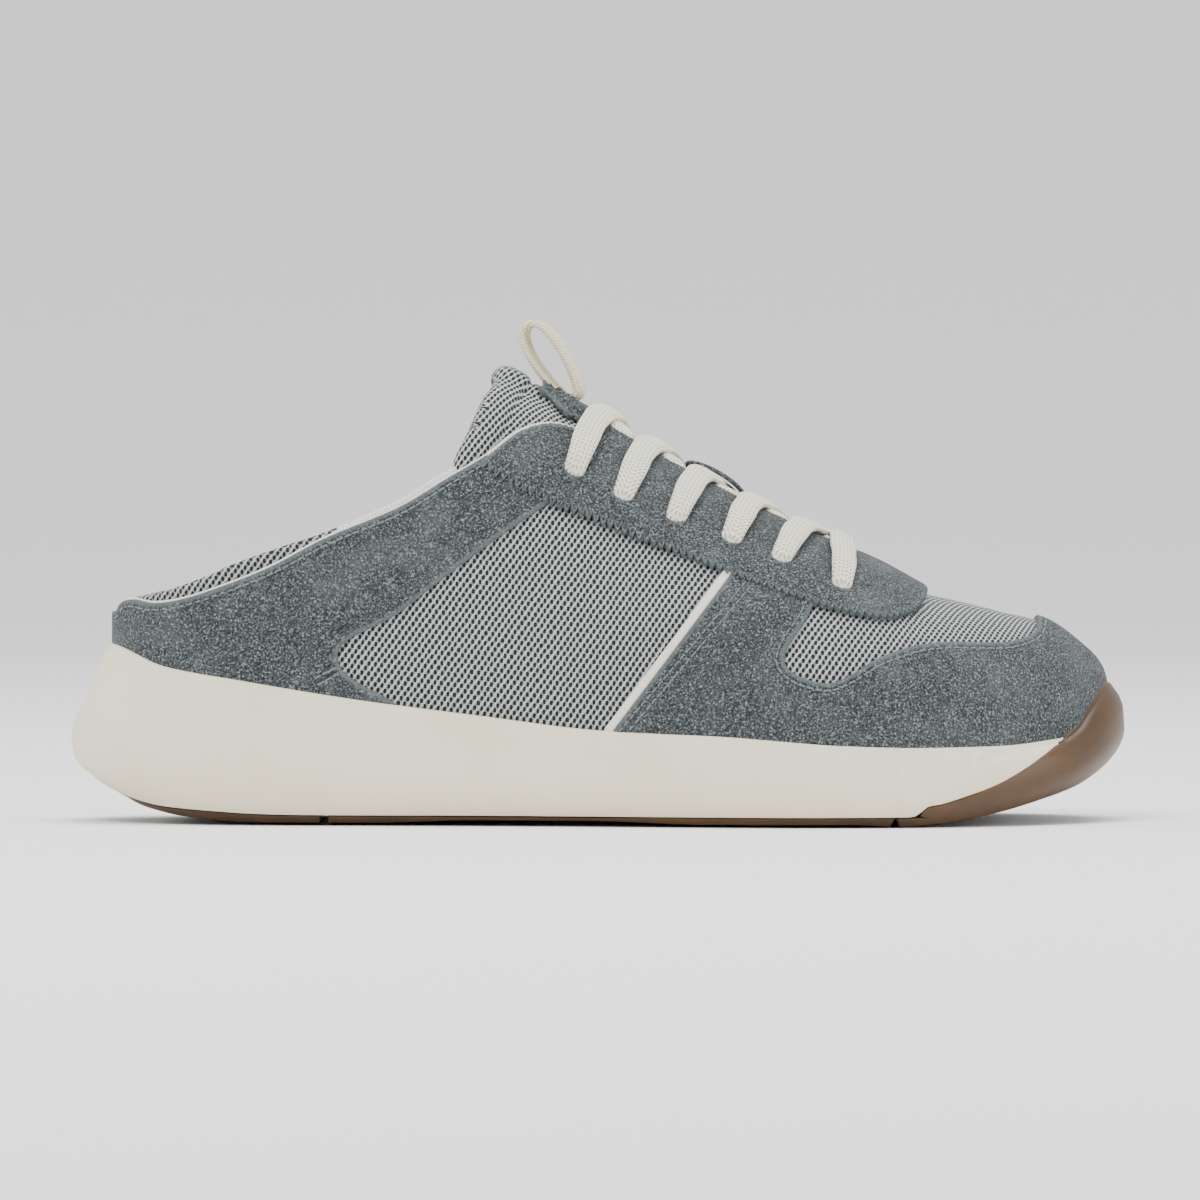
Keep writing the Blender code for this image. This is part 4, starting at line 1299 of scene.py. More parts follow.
@dataclass
class Outlines:
    """Outlines of the cloth, with lengths in metres and the rest as shares of the last."""

    last: Last
    wall: float = 0.0020
    facing: float = 0.0019
    throat_top: float = 0.440
    throat_toe: float = 0.752
    throat_top_width: float = 0.0240
    throat_toe_width: float = 0.0170
    eyelet: float = 0.0046
    sky: float = 2.2
    ground: float = -0.5

    def __post_init__(self) -> None:
        """Draws the outlines that several pieces share."""
        last, sky = self.last, self.sky
        self.topline = smooth(last.side(TOPLINE), 8)
        corners = last.side([(TOPLINE[-1][0], sky), (TOPLINE[0][0], sky)])
        self.collar = np.concatenate([self.topline, corners])
        edge = smooth(last.side(EYESTAY_EDGE), 8)
        front = last.side([(EYESTAY_TIP, 0.495), (EYESTAY_TIP, sky), (EYESTAY_EDGE[0][0], sky)])
        self.eyestay = np.concatenate([edge, front])
        self.throat = self.draw_throat()

    def throat_half(self, station: np.ndarray) -> np.ndarray:
        """Finds half the width of the throat.

        Args:
            station: Stations along the upper.

        Returns:
            Half widths.
        """
        share = np.clip((station - self.throat_top) / (self.throat_toe - self.throat_top), 0, 1)
        width = self.throat_top_width + (self.throat_toe_width - self.throat_top_width) * share
        return width / 2

    def draw_throat(self) -> np.ndarray:
        """Draws the throat in plan, open at the collar and round at the toe.

        Returns:
            X and Y of its edge, from the lateral side round to the medial one.
        """
        last = self.last
        radius = self.throat_toe_width / 2
        stations = np.linspace(self.throat_top - 0.03, self.throat_toe - radius / last.length, 40)
        ridge = last.section(stations)[2]
        half = self.throat_half(stations)
        lateral = np.stack([last.x(stations), ridge - half], axis=1)
        medial = np.stack([last.x(stations), ridge + half], axis=1)[::-1]
        turns = np.linspace(-np.pi / 2, np.pi / 2, 17)[1:-1]
        centre = np.array([last.x(stations[-1]), ridge[-1]])
        tip = centre + radius * np.stack([np.cos(turns), np.sin(turns)], axis=1)
        return np.concatenate([lateral, tip, medial])

    def side_distance(self, outline: np.ndarray, sign: float, margin: float) -> Distance:
        """Makes a distance from an outline of the side view."""
        return lambda places: sign * inside_distance(places[:, [0, 2]], outline) - margin

    def plan_distance(self, margin: float) -> Distance:
        """Makes the distance from the throat."""
        return lambda places: -inside_distance(places[:, :2], self.throat) - margin

    def eyelet_places(self, hand: Hand) -> np.ndarray:
        """Finds the eyelets of one facing."""
        offset = self.last.gap + self.facing
        return self.last.seen(self.last.side(EYELETS), hand, offset)

    def eyelet_distance(self) -> Distance:
        """Makes the distance from the eyelets.

        Returns:
            The distance of places, positive outside the eyelets.
        """
        axes = []
        for hand in Hand:
            station, across = self.eyelet_places(hand).T
            place, normal = self.last.surface(station, across, np.zeros(len(station)))
            axes += list(zip(place, normal))

        def distance(places: np.ndarray) -> np.ndarray:
            """Measures places from the nearest eyelet.

            Args:
                places: The places.

            Returns:
                Distances.
            """
            near = np.full(len(places), 0.02)
            for place, normal in axes:
                reach = places - place
                along_axis = reach @ normal
                aside = np.linalg.norm(reach - along_axis[:, None] * normal, axis=1)
                far = np.abs(along_axis) > 0.01
                near = np.minimum(near, np.where(far, 0.02, aside - self.eyelet / 2))
            return near

        return distance


def creases(points: np.ndarray) -> np.ndarray:
    """Gives the upper its soft troughs and ridges.

    Args:
        points: Points of the last.

    Returns:
        Height over each point.
    """
    folds = (
        (0.047, 0.045, 0.022, 0.9, -0.00055),
        (0.062, 0.038, 0.018, 1.1, -0.00050),
        (-0.030, 0.060, 0.030, 0.5, -0.00060),
        (0.008, 0.052, 0.028, 0.4, 0.00045),
        (0.088, 0.058, 0.016, 1.3, -0.00050),
        (-0.078, 0.058, 0.024, 0.6, 0.00040),
    )
    height = np.zeros(points.shape[:-1])
    for x, z, length, lean, depth in folds:
        dx, dz = points[..., 0] - x, points[..., 2] - z
        far = (dx * math.cos(lean) + dz * math.sin(lean)) / length
        near = (dz * math.cos(lean) - dx * math.sin(lean)) / 0.0045
        height += depth * np.exp(-(far**2) - near**2)
    return height


@dataclass
class Upper:
    """Mesh wall with its suede overlays, eyestay, edge strips and collar lining, in metres."""

    last: Last
    outlines: Outlines
    suede: float = 0.0012
    strip: float = 0.0010
    lining: float = 0.0030
    lining_depth: float = 0.0160
    tooth: float = 0.0021
    tooth_depth: float = 0.00055
    tuck: float = 0.0030
    trees: dict[str, BVHTree] = field(default_factory=dict)

    def build(self, wardrobe: Wardrobe) -> None:
        """Makes every piece.

        Args:
            wardrobe: The materials.
        """
        self.build_wall(wardrobe)
        self.build_quarter(wardrobe)
        self.build_toe(wardrobe)
        self.build_eyestay(wardrobe)
        self.build_strips(wardrobe)
        self.build_lining(wardrobe)

    def build_wall(self, wardrobe: Wardrobe) -> None:
        """Makes the mesh wall.

        Args:
            wardrobe: The materials.
        """
        wall = self.outlines.wall
        patch = self.last.patch(even_stations(220, 0.0, 1.0), 112, (0.0, 1.0))
        cloth = Cloth(patch, creases(patch.points))
        cloth.cut(self.outlines.side_distance(self.outlines.collar, -1, wall / 2 - 0.0006))
        cloth.cut(self.outlines.plan_distance(wall / 2))
        cloth.cut(self.outlines.eyelet_distance())
        outer = set(cloth.bm.faces)
        cloth.back(lambda vertex: wall, 6)
        for face in cloth.bm.faces:
            face.material_index = 0 if face in outer else 1
        add_piece("mesh_wall", cloth, [wardrobe.mesh, wardrobe.lining], ("textile_upper",))

    def overlay(self, patch: Patch, cuts: list[Distance], hidden: list[Distance]) -> Cloth:
        """Makes a suede overlay.

        Args:
            patch: Grid it lies on.
            cuts: Distances from its edges.
            hidden: Distances from edges that lie under other cloth.

        Returns:
            The sheet, turned over at its edges.
        """
        height = self.last.gap + self.suede
        cloth = Cloth(patch, height + creases(patch.points))
        for distance in hidden:
            cloth.cut(distance, edged=False)
        for distance in cuts:
            cloth.cut(distance)
        cloth.roll(lambda vertex: 0.0006, math.pi / 2, 3, 0.0010)
        return cloth

    def under_eyestay(self) -> Distance:
        """Finds what reaches no further than a tuck under the eyestay."""
        return self.outlines.side_distance(self.outlines.eyestay, -1, -self.tuck)

    def build_quarter(self, wardrobe: Wardrobe) -> None:
        """Makes the suede round the heel.

        Args:
            wardrobe: The materials.
        """
        lines, last = self.outlines, self.last
        window = smooth(last.side(SIDE_WINDOW), 8)
        corners = [(-0.4, lines.ground), (-0.4, lines.sky), (0.46, lines.sky)]
        area = np.concatenate([window, last.side(corners)])
        patch = last.patch(even_stations(150, 0.0, 0.47), 120, (0.0, 1.0))
        radius = 0.0005
        cuts = [
            lines.side_distance(area, 1, radius),
            lines.side_distance(lines.collar, -1, radius),
        ]
        cloth = self.overlay(patch, cuts, [self.under_eyestay()])
        self.trees["quarter"] = cloth.tree()
        add_piece("heel_suede", cloth, [wardrobe.suede], ("quarter_overlay",))

    def build_toe(self, wardrobe: Wardrobe) -> None:
        """Makes the suede round the toe.

        Args:
            wardrobe: The materials.
        """
        lines, last = self.outlines, self.last
        window = smooth(last.side(TOE_WINDOW), 8)
        window = np.concatenate([window, last.side([(TOE_WINDOW[-1][0], 1.0), (TOE_WINDOW[0][0], 1.0)])])
        corners = [(STRIP_FOOT[1], lines.ground), (STRIP_FOOT[1], 0.0)]
        corners += [(STRIP_HEAD[1], STRIP_HEAD_HEIGHT), (0.66, 1.0), (1.2, 1.0), (1.2, lines.ground)]
        patch = last.patch(even_stations(170, 0.48, 1.0), 132, (0.0, 1.0))
        cuts = [
            lines.side_distance(last.side(corners), 1, 0.0005),
            lines.side_distance(window, -1, 0.0005),
        ]
        cloth = self.overlay(patch, cuts, [self.under_eyestay()])
        self.trees["toe"] = cloth.tree()
        add_piece("toe_suede", cloth, [wardrobe.suede], ("toe_overlay",))

    def eyestay_paths(self) -> tuple[np.ndarray, np.ndarray]:
        """Draws the outer and the inner edge of the eyestay, from side to side round the toe.

        Returns:
            Station and distance across of points along both edges.
        """
        lines, last = self.outlines, self.last
        offset = last.gap + self.outlines.facing
        edge = smooth(last.side([(0.345, 0.835), *EYESTAY_EDGE]), 6)
        lateral = last.seen(edge, Hand.LATERAL, offset)
        medial = last.seen(edge, Hand.MEDIAL, offset)
        ridge = float(last.section(np.array(EYESTAY_TIP))[2])
        front = [
            (0.8125, ridge + (lateral[-1, 1] - ridge) * 0.75),
            (0.8165, ridge + (lateral[-1, 1] - ridge) * 0.4),
            (0.8130, ridge),
            (0.8165, ridge + (medial[-1, 1] - ridge) * 0.4),
            (0.8125, ridge + (medial[-1, 1] - ridge) * 0.75),
        ]
        outer = smooth(np.concatenate([lateral[::3], front, medial[::-3]]), 12)
        inner = np.stack([last.station(lines.throat[:, 0]), lines.throat[:, 1]], axis=1)
        return outer, inner

    def build_eyestay(self, wardrobe: Wardrobe) -> None:
        """Makes the pinked suede that carries the eyelets.

        Args:
            wardrobe: The materials.
        """
        last = self.last
        outer, inner = self.eyestay_paths()
        height = last.gap + self.outlines.facing
        edge = last.surface(*outer.T, np.full(len(outer), height))[0]
        lengths = lengths_along(edge)
        count = int(lengths[-1] / self.tooth) * 4
        wanted = np.linspace(0.0, lengths[-1], count + 1)
        outer = resampled(outer, lengths, wanted)
        inner_edge = last.surface(*inner.T, np.full(len(inner), height))[0]
        inner_lengths = lengths_along(inner_edge)
        inner = resampled(inner, inner_lengths, wanted / lengths[-1] * inner_lengths[-1])
        across = (inner - outer) * (last.length, 1.0)
        across /= np.linalg.norm(across, axis=1)[:, None] * (last.length, 1.0)
        teeth = np.array([-1.0, 0.0, 1.0, 0.0])[np.arange(count + 1) % 4] * self.tooth_depth
        outer = outer + across * 0.0006
        start = outer + across * teeth[:, None]
        second = outer + across * 0.0011
        inset = 0.0007
        end = inner - across * inset
        shares = np.linspace(0.0, 1.0, 26)[:, None, None]
        between = second + (end - second) * shares
        grid = np.concatenate([start[None], between]).transpose(1, 0, 2)
        points, normals = last.surface(grid[..., 0], grid[..., 1], np.zeros(grid.shape[:2]))
        warp = np.repeat(wanted[:, None], grid.shape[1], axis=1)
        patch = Patch(points, normals, np.full(count + 1, 0.5), warp, spans(points, 1))
        cloth = Cloth(patch, height + 0.6 * creases(points))
        for vertex in cloth.bm.verts:
            place = vertex[cloth.data]
            vertex[cloth.data] = (place[0], place[1], min(place[1] + 0.2, 20.0))
        cloth.cut(self.outlines.side_distance(self.outlines.collar, -1, inset))
        cloth.cut(self.outlines.eyelet_distance())
        cloth.roll(lambda vertex: 0.00025, math.pi / 2, 3, 0.0017)
        self.trees["eyestay"] = cloth.tree()
        add_piece("pinked_eyestay", cloth, [wardrobe.suede], ("eyestay",))

    def build_strips(self, wardrobe: Wardrobe) -> None:
        """Makes the pale strips behind the toe suede.

        Args:
            wardrobe: The materials.
        """
        lines, last = self.outlines, self.last
        corners = [(STRIP_FOOT[0], lines.ground), (STRIP_FOOT[0], 0.0)]
        corners += [(STRIP_HEAD[0], STRIP_HEAD_HEIGHT), (STRIP_HEAD[1], STRIP_HEAD_HEIGHT)]
        corners += [(STRIP_FOOT[1], 0.0), (STRIP_FOOT[1], lines.ground)]
        area = last.side(corners)
        for hand, girth in ((Hand.LATERAL, (0.0, 0.45)), (Hand.MEDIAL, (0.55, 1.0))):
            patch = last.patch(np.linspace(0.485, 0.634, 120), 70, girth)
            cloth = Cloth(patch, last.gap + self.strip + creases(patch.points))
            cloth.cut(lines.side_distance(area, 1, 0.0006))
            cloth.roll(lambda vertex: 0.0007, math.pi / 2, 4, 0.0006)
            name = hand.name.lower()
            add_piece(f"{name}_edge_strip", cloth, [wardrobe.tape], (f"side_strip_{name}",))

    def build_lining(self, wardrobe: Wardrobe) -> None:
        """Makes the padded lining of the collar, which rolls up over the heel suede.

        Args:
            wardrobe: The materials.
        """
        last = self.last
        line = smooth(last.side([*LINING_TOP, (0.40, 0.915), (0.44, 0.955)]), 8)
        low = line - (0.0, self.lining_depth + 0.004)
        area = np.concatenate([line, low[::-1]])
        patch = last.patch(even_stations(150, 0.0, 0.44), 130, (0.0, 1.0))
        radius = self.lining / 2
        cloth = Cloth(patch, np.full(1, -self.outlines.wall - last.gap))
        cloth.cut(self.outlines.side_distance(area, 1, radius))

        def thickness(vertex: bmesh.types.BMVert) -> float:
            """Thins the padding downwards and towards the throat.

            Args:
                vertex: Vertex of the sheet.

            Returns:
                Its thickness.
            """
            under = np.interp(vertex.co.x, line[:, 0], line[:, 1]) - vertex.co.z
            thin = float(fade(np.array(under), 0.006, self.lining_depth))
            front = float(fade(np.array(vertex.co.x), -0.045, -0.03))
            return self.lining * (1 - 0.75 * thin) * (1 - 0.6 * front)

        cloth.back(thickness, 8)
        for face in cloth.bm.faces:
            middle = face.calc_center_median()
            under = np.interp(middle.x, line[:, 0], line[:, 1]) - middle.z
            turned = middle.x < -0.070 and under < 0.010 and cloth.margin(face) < 5.0
            face.material_index = 0 if turned else 1
        materials = [wardrobe.mesh, wardrobe.lining]
        add_piece("collar_lining", cloth, materials, ("collar_lining",))


@dataclass
class Tongue:
    """Padded tongue with its suede patch, lace keeper and pull loop, in metres."""

    last: Last
    outlines: Outlines
    thickness: float = 0.0050
    swell: float = 0.0020
    laced: float = 0.0022
    head_depth: float = 0.0100
    puff: float = 0.0010
    suede: float = 0.0012
    turned: float = 4.0
    keeper_span: tuple[float, float] = (0.570, 0.632)
    keeper_width: float = 0.0090
    keeper_rise: float = 0.0036
    loop_station: float = 0.456
    loop_lean: float = math.radians(33)
    loop_length: float = 0.0198
    loop_gap: float = 0.0040
    loop_turn: float = math.radians(15)
    loop_width: float = 0.0080
    loop_thickness: float = 0.0018

    def __post_init__(self) -> None:
        """Draws the outline of the tongue."""
        last = self.last
        self.head = smooth(last.side(TONGUE_OUTLINE[:6]), 8)
        rest = smooth(last.side(TONGUE_OUTLINE[5:]), 4)
        corners = last.side([(0.768, TONGUE_OUTLINE[-1][1]), (0.768, TONGUE_OUTLINE[0][1])])
        self.area = np.concatenate([self.head, rest[1:], corners])

    def under_face(self) -> float:
        """Finds how deep the tongue's face lies under the facings."""
        return self.outlines.wall + self.last.gap

    def face(self, points: np.ndarray, stations: np.ndarray) -> np.ndarray:
        """Shapes the tongue's face: pressed down by the lace, swelling up in the throat.

        Args:
            points: Points of the last.
            stations: Station of each row.

        Returns:
            Height over each point.
        """
        half = self.outlines.throat_half(stations)[:, None]
        away = np.abs(points[..., 1] - self.last.section(stations)[2][:, None])
        swell = 1 - fade(away / half, 0.40, 0.80)
        swell = swell * (1 - fade(stations, 0.66, 0.70))[:, None]
        laced = fade(away / half, 0.9, 1.15) * (1 - fade(away / half, 2.0, 2.6))
        laced = laced * fade(stations, 0.47, 0.49)[:, None]
        head = np.interp(points[..., 2], self.head[::-1, 1], self.head[::-1, 0])
        back = (points[..., 0] - head) / self.head_depth
        puff = np.where((back > 0) & (back < 1), np.sin(np.pi * np.clip(back, 0, 1)) ** 0.6, 0.0)
        groove = -0.7 * np.exp(-(((back - 1.0) / 0.10) ** 2))
        return (
            -self.under_face()
            + self.swell * swell
            - self.laced * laced
            + self.puff * (puff + groove)
        )

    def build(self, wardrobe: Wardrobe) -> None:
        """Makes every piece.

        Args:
            wardrobe: The materials.
        """
        self.build_body(wardrobe)
        self.build_patch(wardrobe)
        self.build_keeper(wardrobe)
        self.build_loop(wardrobe)

    def build_body(self, wardrobe: Wardrobe) -> None:
        """Makes the tongue.

        Args:
            wardrobe: The materials.
        """
        patch = self.last.patch(np.linspace(0.335, 0.775, 190), 100, (0.16, 0.84))
        offset = self.face(patch.points, patch.stations)
        cloth = Cloth(patch, offset)
        radius = 0.0022
        cloth.cut(self.outlines.side_distance(self.area, 1, radius))
        inner = self.under_face() + self.thickness
        heights = self.last_heights(cloth)
        outer = set(cloth.bm.faces)
        cloth.back(lambda vertex: max(inner + heights[vertex], 0.001), 10)
        for face in cloth.bm.faces:
            inside = face not in outer and cloth.margin(face) > self.turned
            face.material_index = 1 if inside else 0
        materials = [wardrobe.mesh, wardrobe.lining]
        add_piece("padded_tongue", cloth, materials, ("tongue",))

    def last_heights(self, cloth: Cloth) -> dict[bmesh.types.BMVert, float]:
        """Measures how high a sheet's vertices lie over the last.

        Args:
            cloth: The sheet.

        Returns:
            Signed heights by vertex.
        """
        vertices = list(cloth.bm.verts)
        places = np.array([vertex.co[:] for vertex in vertices])
        station = self.last.station(places[:, 0])
        on_last, normal = self.last.surface(station, places[:, 1], np.zeros(len(places)))
        rise = (places[:, 2] - on_last[:, 2]) * normal[:, 2]
        return dict(zip(vertices, np.clip(rise, -0.0050, 0.0030).tolist()))

    def build_patch(self, wardrobe: Wardrobe) -> None:
        """Makes the ribbed suede patch on the tongue's head.

        Args:
            wardrobe: The materials.
        """
        last = self.last
        patch = last.patch(np.linspace(0.408, 0.520, 130), 110, (0.34, 0.66))
        edge = last.side(PATCH_EDGE)
        depth = patch.points[..., 0] - np.interp(patch.points[..., 2], edge[::-1, 1], edge[::-1, 0])
        ribs = 0.00035 * (1 + np.cos(2 * np.pi * depth / 0.0016)) * (depth < 0.0052)
        offset = self.face(patch.points, patch.stations) + last.gap + self.suede + ribs
        cloth = Cloth(patch, offset)
        corners = last.side([(PATCH_EDGE[-1][0], 1.3), (PATCH_EDGE[0][0], 1.3)])
        cloth.cut(self.outlines.side_distance(np.concatenate([edge, corners]), 1, 0.0005))
        cloth.cut(lambda places: inside_distance(places[:, :2], self.outlines.throat) - 0.0012)
        cloth.roll(lambda vertex: 0.0005, math.pi / 2, 3, 0.0010)
        add_piece("tongue_patch", cloth, [wardrobe.suede], ("tongue_patch",))

    def build_keeper(self, wardrobe: Wardrobe) -> None:
        """Makes the suede bridge that the lace passes under.

        Args:
            wardrobe: The materials.
        """
        last = self.last
        shares = np.linspace(0.0, 1.0, 41)
        start, end = self.keeper_span
        stations = start + (end - start) * shares
        ridge = last.section(stations)[2]
        rise = self.keeper_rise * np.sin(np.pi * shares) ** 0.35 + self.suede + 0.0002
        middle = last.surface(stations, ridge, rise)[0]
        across = np.linspace(-0.5, 0.5, 13) * (self.keeper_width - self.suede)
        points = middle[:, None] + across[:, None] * np.array([0.0, 1.0, 0.0])
        normals = Last.normals(points, np.full(len(shares), 0.5))
        warp = np.repeat(lengths_along(middle)[:, None], len(across), axis=1)
        weft = np.repeat(across[None], len(shares), axis=0) + self.keeper_width / 2
        cloth = Cloth(Patch(points, normals, stations, warp, weft), np.zeros(1))
        cloth.back(lambda vertex: self.suede, 6)
        add_piece("lace_keeper", cloth, [wardrobe.suede], ("lace_keeper",))

    def build_loop(self, wardrobe: Wardrobe) -> None:
        """Makes the webbing loop that leans back over the heel.

        Args:
            wardrobe: The materials.
        """
        last = self.last
        station = np.array([self.loop_station])
        ridge = last.section(station)[2]
        base = self.suede + last.gap + self.loop_thickness / 2
        foot = last.surface(station, ridge, np.full(1, base))[0][0]
        axis = np.array([-math.sin(self.loop_lean), 0.0, math.cos(self.loop_lean)])
        aside = np.array([math.cos(self.loop_lean), 0.0, math.sin(self.loop_lean)])
        narrow = 0.8 * self.loop_thickness
        wide = (self.loop_gap + self.loop_thickness) / 2
        angles = np.linspace(0.0, 2 * np.pi, 97)
        up = (1 - np.cos(angles)) / 2
        half = narrow + (wide - narrow) * up**0.8 * 0.9
        out = half * np.sin(angles)
        centre = foot + axis * (self.loop_length * up)[:, None] + aside * out[:, None]
        across = np.linspace(-0.5, 0.5, 15) * (self.loop_width - self.loop_thickness)
        wide_way = np.array([math.sin(self.loop_turn), math.cos(self.loop_turn), 0.0])
        points = centre[:, None] + across[:, None] * wide_way
        normals = Last.normals(points, np.full(len(angles), 0.5))
        warp = np.repeat(lengths_along(centre)[:, None], len(across), axis=1)
        weft = np.repeat(across[None], len(angles), axis=0)
        height = np.full(1, -self.loop_thickness / 2)
        cloth = Cloth(Patch(points, normals, np.full(len(angles), 0.5), warp, weft), height)
        cloth.back(lambda vertex: self.loop_thickness, 6)
        add_piece("pull_loop", cloth, [wardrobe.webbing], ("pull_loop",))


@dataclass
class Lace:
    """One flat lace through all the eyelets, from one top eyelet to the other, in metres."""

    last: Last
    outlines: Outlines
    width: float = 0.0074
    thickness: float = 0.0025
    squeezed_width: float = 0.0056
    squeezed_thickness: float = 0.0034
    over: float = 0.0027
    under: float = 0.0007
    step: float = 0.0007
    sides: int = 20
    kept: int = 2

    def __post_init__(self) -> None:
        """Finds the eyelets and the heights at which the lace lies."""
        self.eyelets = {hand: self.outlines.eyelet_places(hand) for hand in Hand}
        self.facing = self.last.gap + self.outlines.facing
        self.inside = -self.outlines.wall - self.thickness / 2 - 0.0002

    def spot(
        self, station: float, across: float, offset: float, squeeze: float = 0.0
    ) -> tuple[float, ...]:
        """Describes one point of the lace's path."""
        return station * self.last.length, across, offset, squeeze

    def crossing(self, number: int, hand: Hand) -> list[tuple[float, ...]]:
        """Runs the lace from inside one eyelet, over the tongue and under the other facing.

        Args:
            number: Number of the eyelet, from the collar.
            hand: Side on which it starts.

        Returns:
            Points of the path.
        """
        other = Hand(-hand.value)
        station, across = self.eyelets[hand][number]
        next_station, next_across = self.eyelets[other][number + 1]
        over = self.over if hand is Hand.LATERAL else self.under
        if number == self.kept:
            over -= 0.0006
        middle = station + (next_station - station) * 0.6
        ridge = float(self.last.section(np.array(middle))[2])
        half = float(self.outlines.throat_half(np.array(middle)))
        near = ridge + hand.value * (half + 0.0005)
        far = ridge - hand.value * half
        lying = self.facing + self.thickness / 2

        def ahead(share: float) -> float:
            """Finds a station between the two eyelets."""
            return station + (next_station - station) * share

        first = across + 0.22 * (near - across)
        second = across + 0.60 * (near - across)
        tucked = ridge - hand.value * (half + 0.0045)
        return [
            self.spot(station, across, self.inside, 0.8),
            self.spot(station, across, 0.0, 1.0),
            self.spot(station, across, self.facing + 0.0002, 0.9),
            self.spot(ahead(0.11), first, lying + 0.0008, 0.3),
            self.spot(ahead(0.26), second, lying + 0.0006, 0.0),
            self.spot(ahead(0.42), near, lying, 0.0),
            self.spot(ahead(0.72), ridge, over, 0.0),
            self.spot(ahead(0.95), far + hand.value * 0.0012, self.under + 0.0008, 0.0),
            self.spot(ahead(1.0), tucked, self.inside, 0.2),
            self.spot(next_station, next_across - other.value * 0.003, self.inside, 0.5),
        ]

    def path(self) -> np.ndarray:
        """Runs the lace through all the eyelets.

        Returns:
            Points of the path.
        """
        last_pair = len(EYELETS) - 1
        hands = [Hand.LATERAL, Hand.MEDIAL]
        down, up = [], []
        for number in range(last_pair):
            down += self.crossing(number, hands[number % 2])
            up += self.crossing(number, hands[(number + 1) % 2])
        start = hands[last_pair % 2]
        bar = []
        lying = self.facing + self.thickness / 2
        for hand, order in ((start, 1), (Hand(-start.value), -1)):
            station, across = self.eyelets[hand][last_pair]
            ridge = float(self.last.section(np.array(station))[2])
            leg = [
                self.spot(station, across, self.inside, 0.8),
                self.spot(station, across, 0.0, 1.0),
                self.spot(station, across, self.facing + 0.0002, 0.9),
                self.spot(station, across + 0.18 * (ridge - across), lying + 0.0009, 0.3),
                self.spot(station, across + 0.50 * (ridge - across), lying + 0.0003, 0.0),
            ]
            bar += leg[::order]
        return np.array(down + bar + up[::-1])

    def build(self, wardrobe: Wardrobe) -> None:
        """Makes the lace.

        Args:
            wardrobe: The materials.
        """
        last = self.last
        course = smooth(self.path(), 10)
        rough = last.surface(course[:, 0] / last.length, course[:, 1], course[:, 2])[0]
        lengths = lengths_along(rough)
        wanted = np.linspace(0.0, lengths[-1], int(lengths[-1] / self.step))
        course = resampled(course, lengths, wanted)
        station = course[:, 0] / last.length
        centre, normal = last.surface(station, course[:, 1], course[:, 2])
        for _ in range(3):
            centre[1:-1] = (centre[:-2] + 2 * centre[1:-1] + centre[2:]) / 4
        forward = np.gradient(centre, axis=0)
        forward /= np.linalg.norm(forward, axis=1)[:, None]
        wide = self.frames(forward, normal)
        thick = np.cross(wide, forward)
        squeeze = np.clip(course[:, 3], 0.0, 1.0)
        ripple = 1 + 0.035 * np.sin(lengths_along(centre) / 0.0021) * (1 - squeeze)
        half = (self.width + (self.squeezed_width - self.width) * squeeze) / 2 * ripple
        depth = (self.thickness + (self.squeezed_thickness - self.thickness) * squeeze) / 2
        angles = np.linspace(-np.pi / 2, 1.5 * np.pi, self.sides + 1)
        flat = np.sign(np.cos(angles)) * np.abs(np.cos(angles)) ** 0.8
        high = np.sign(np.sin(angles)) * np.abs(np.sin(angles)) ** 0.9
        aside = half[:, None] * flat
        points = (
            centre[:, None]
            + wide[:, None] * aside[..., None]
            + thick[:, None] * (depth[:, None] * high)[..., None]
        )
        stations = np.full(len(points), 0.5)
        warp = np.repeat(lengths_along(centre)[:, None], len(angles), axis=1)
        normals = points - centre[:, None]
        normals /= np.linalg.norm(normals, axis=2)[..., None]
        cloth = Cloth(Patch(points, normals, stations, warp, aside), np.zeros(1))
        nodes = [f"lace_crossing_{number}" for number in range(1, len(EYELETS))]
        add_piece("lace", cloth, [wardrobe.lace], (*nodes, "lace_bar"))

    @staticmethod
    def frames(forward: np.ndarray, normal: np.ndarray) -> np.ndarray:
        """Turns the flat of the lace towards the shoe, without sudden twists.

        Args:
            forward: Direction of the lace at each point.
            normal: Direction away from the last at each point.

        Returns:
            Direction across the lace at each point.
        """
        wide = np.cross(forward, normal)
        held = wide[0] / np.linalg.norm(wide[0])
        for k, candidate in enumerate(wide):
            if candidate @ held < 0:
                candidate = -candidate
            held = held - (held @ forward[k]) * forward[k]
            held = 0.75 * held / np.linalg.norm(held) + 0.5 * candidate
            held = held / np.linalg.norm(held)
            wide[k] = held
        return wide


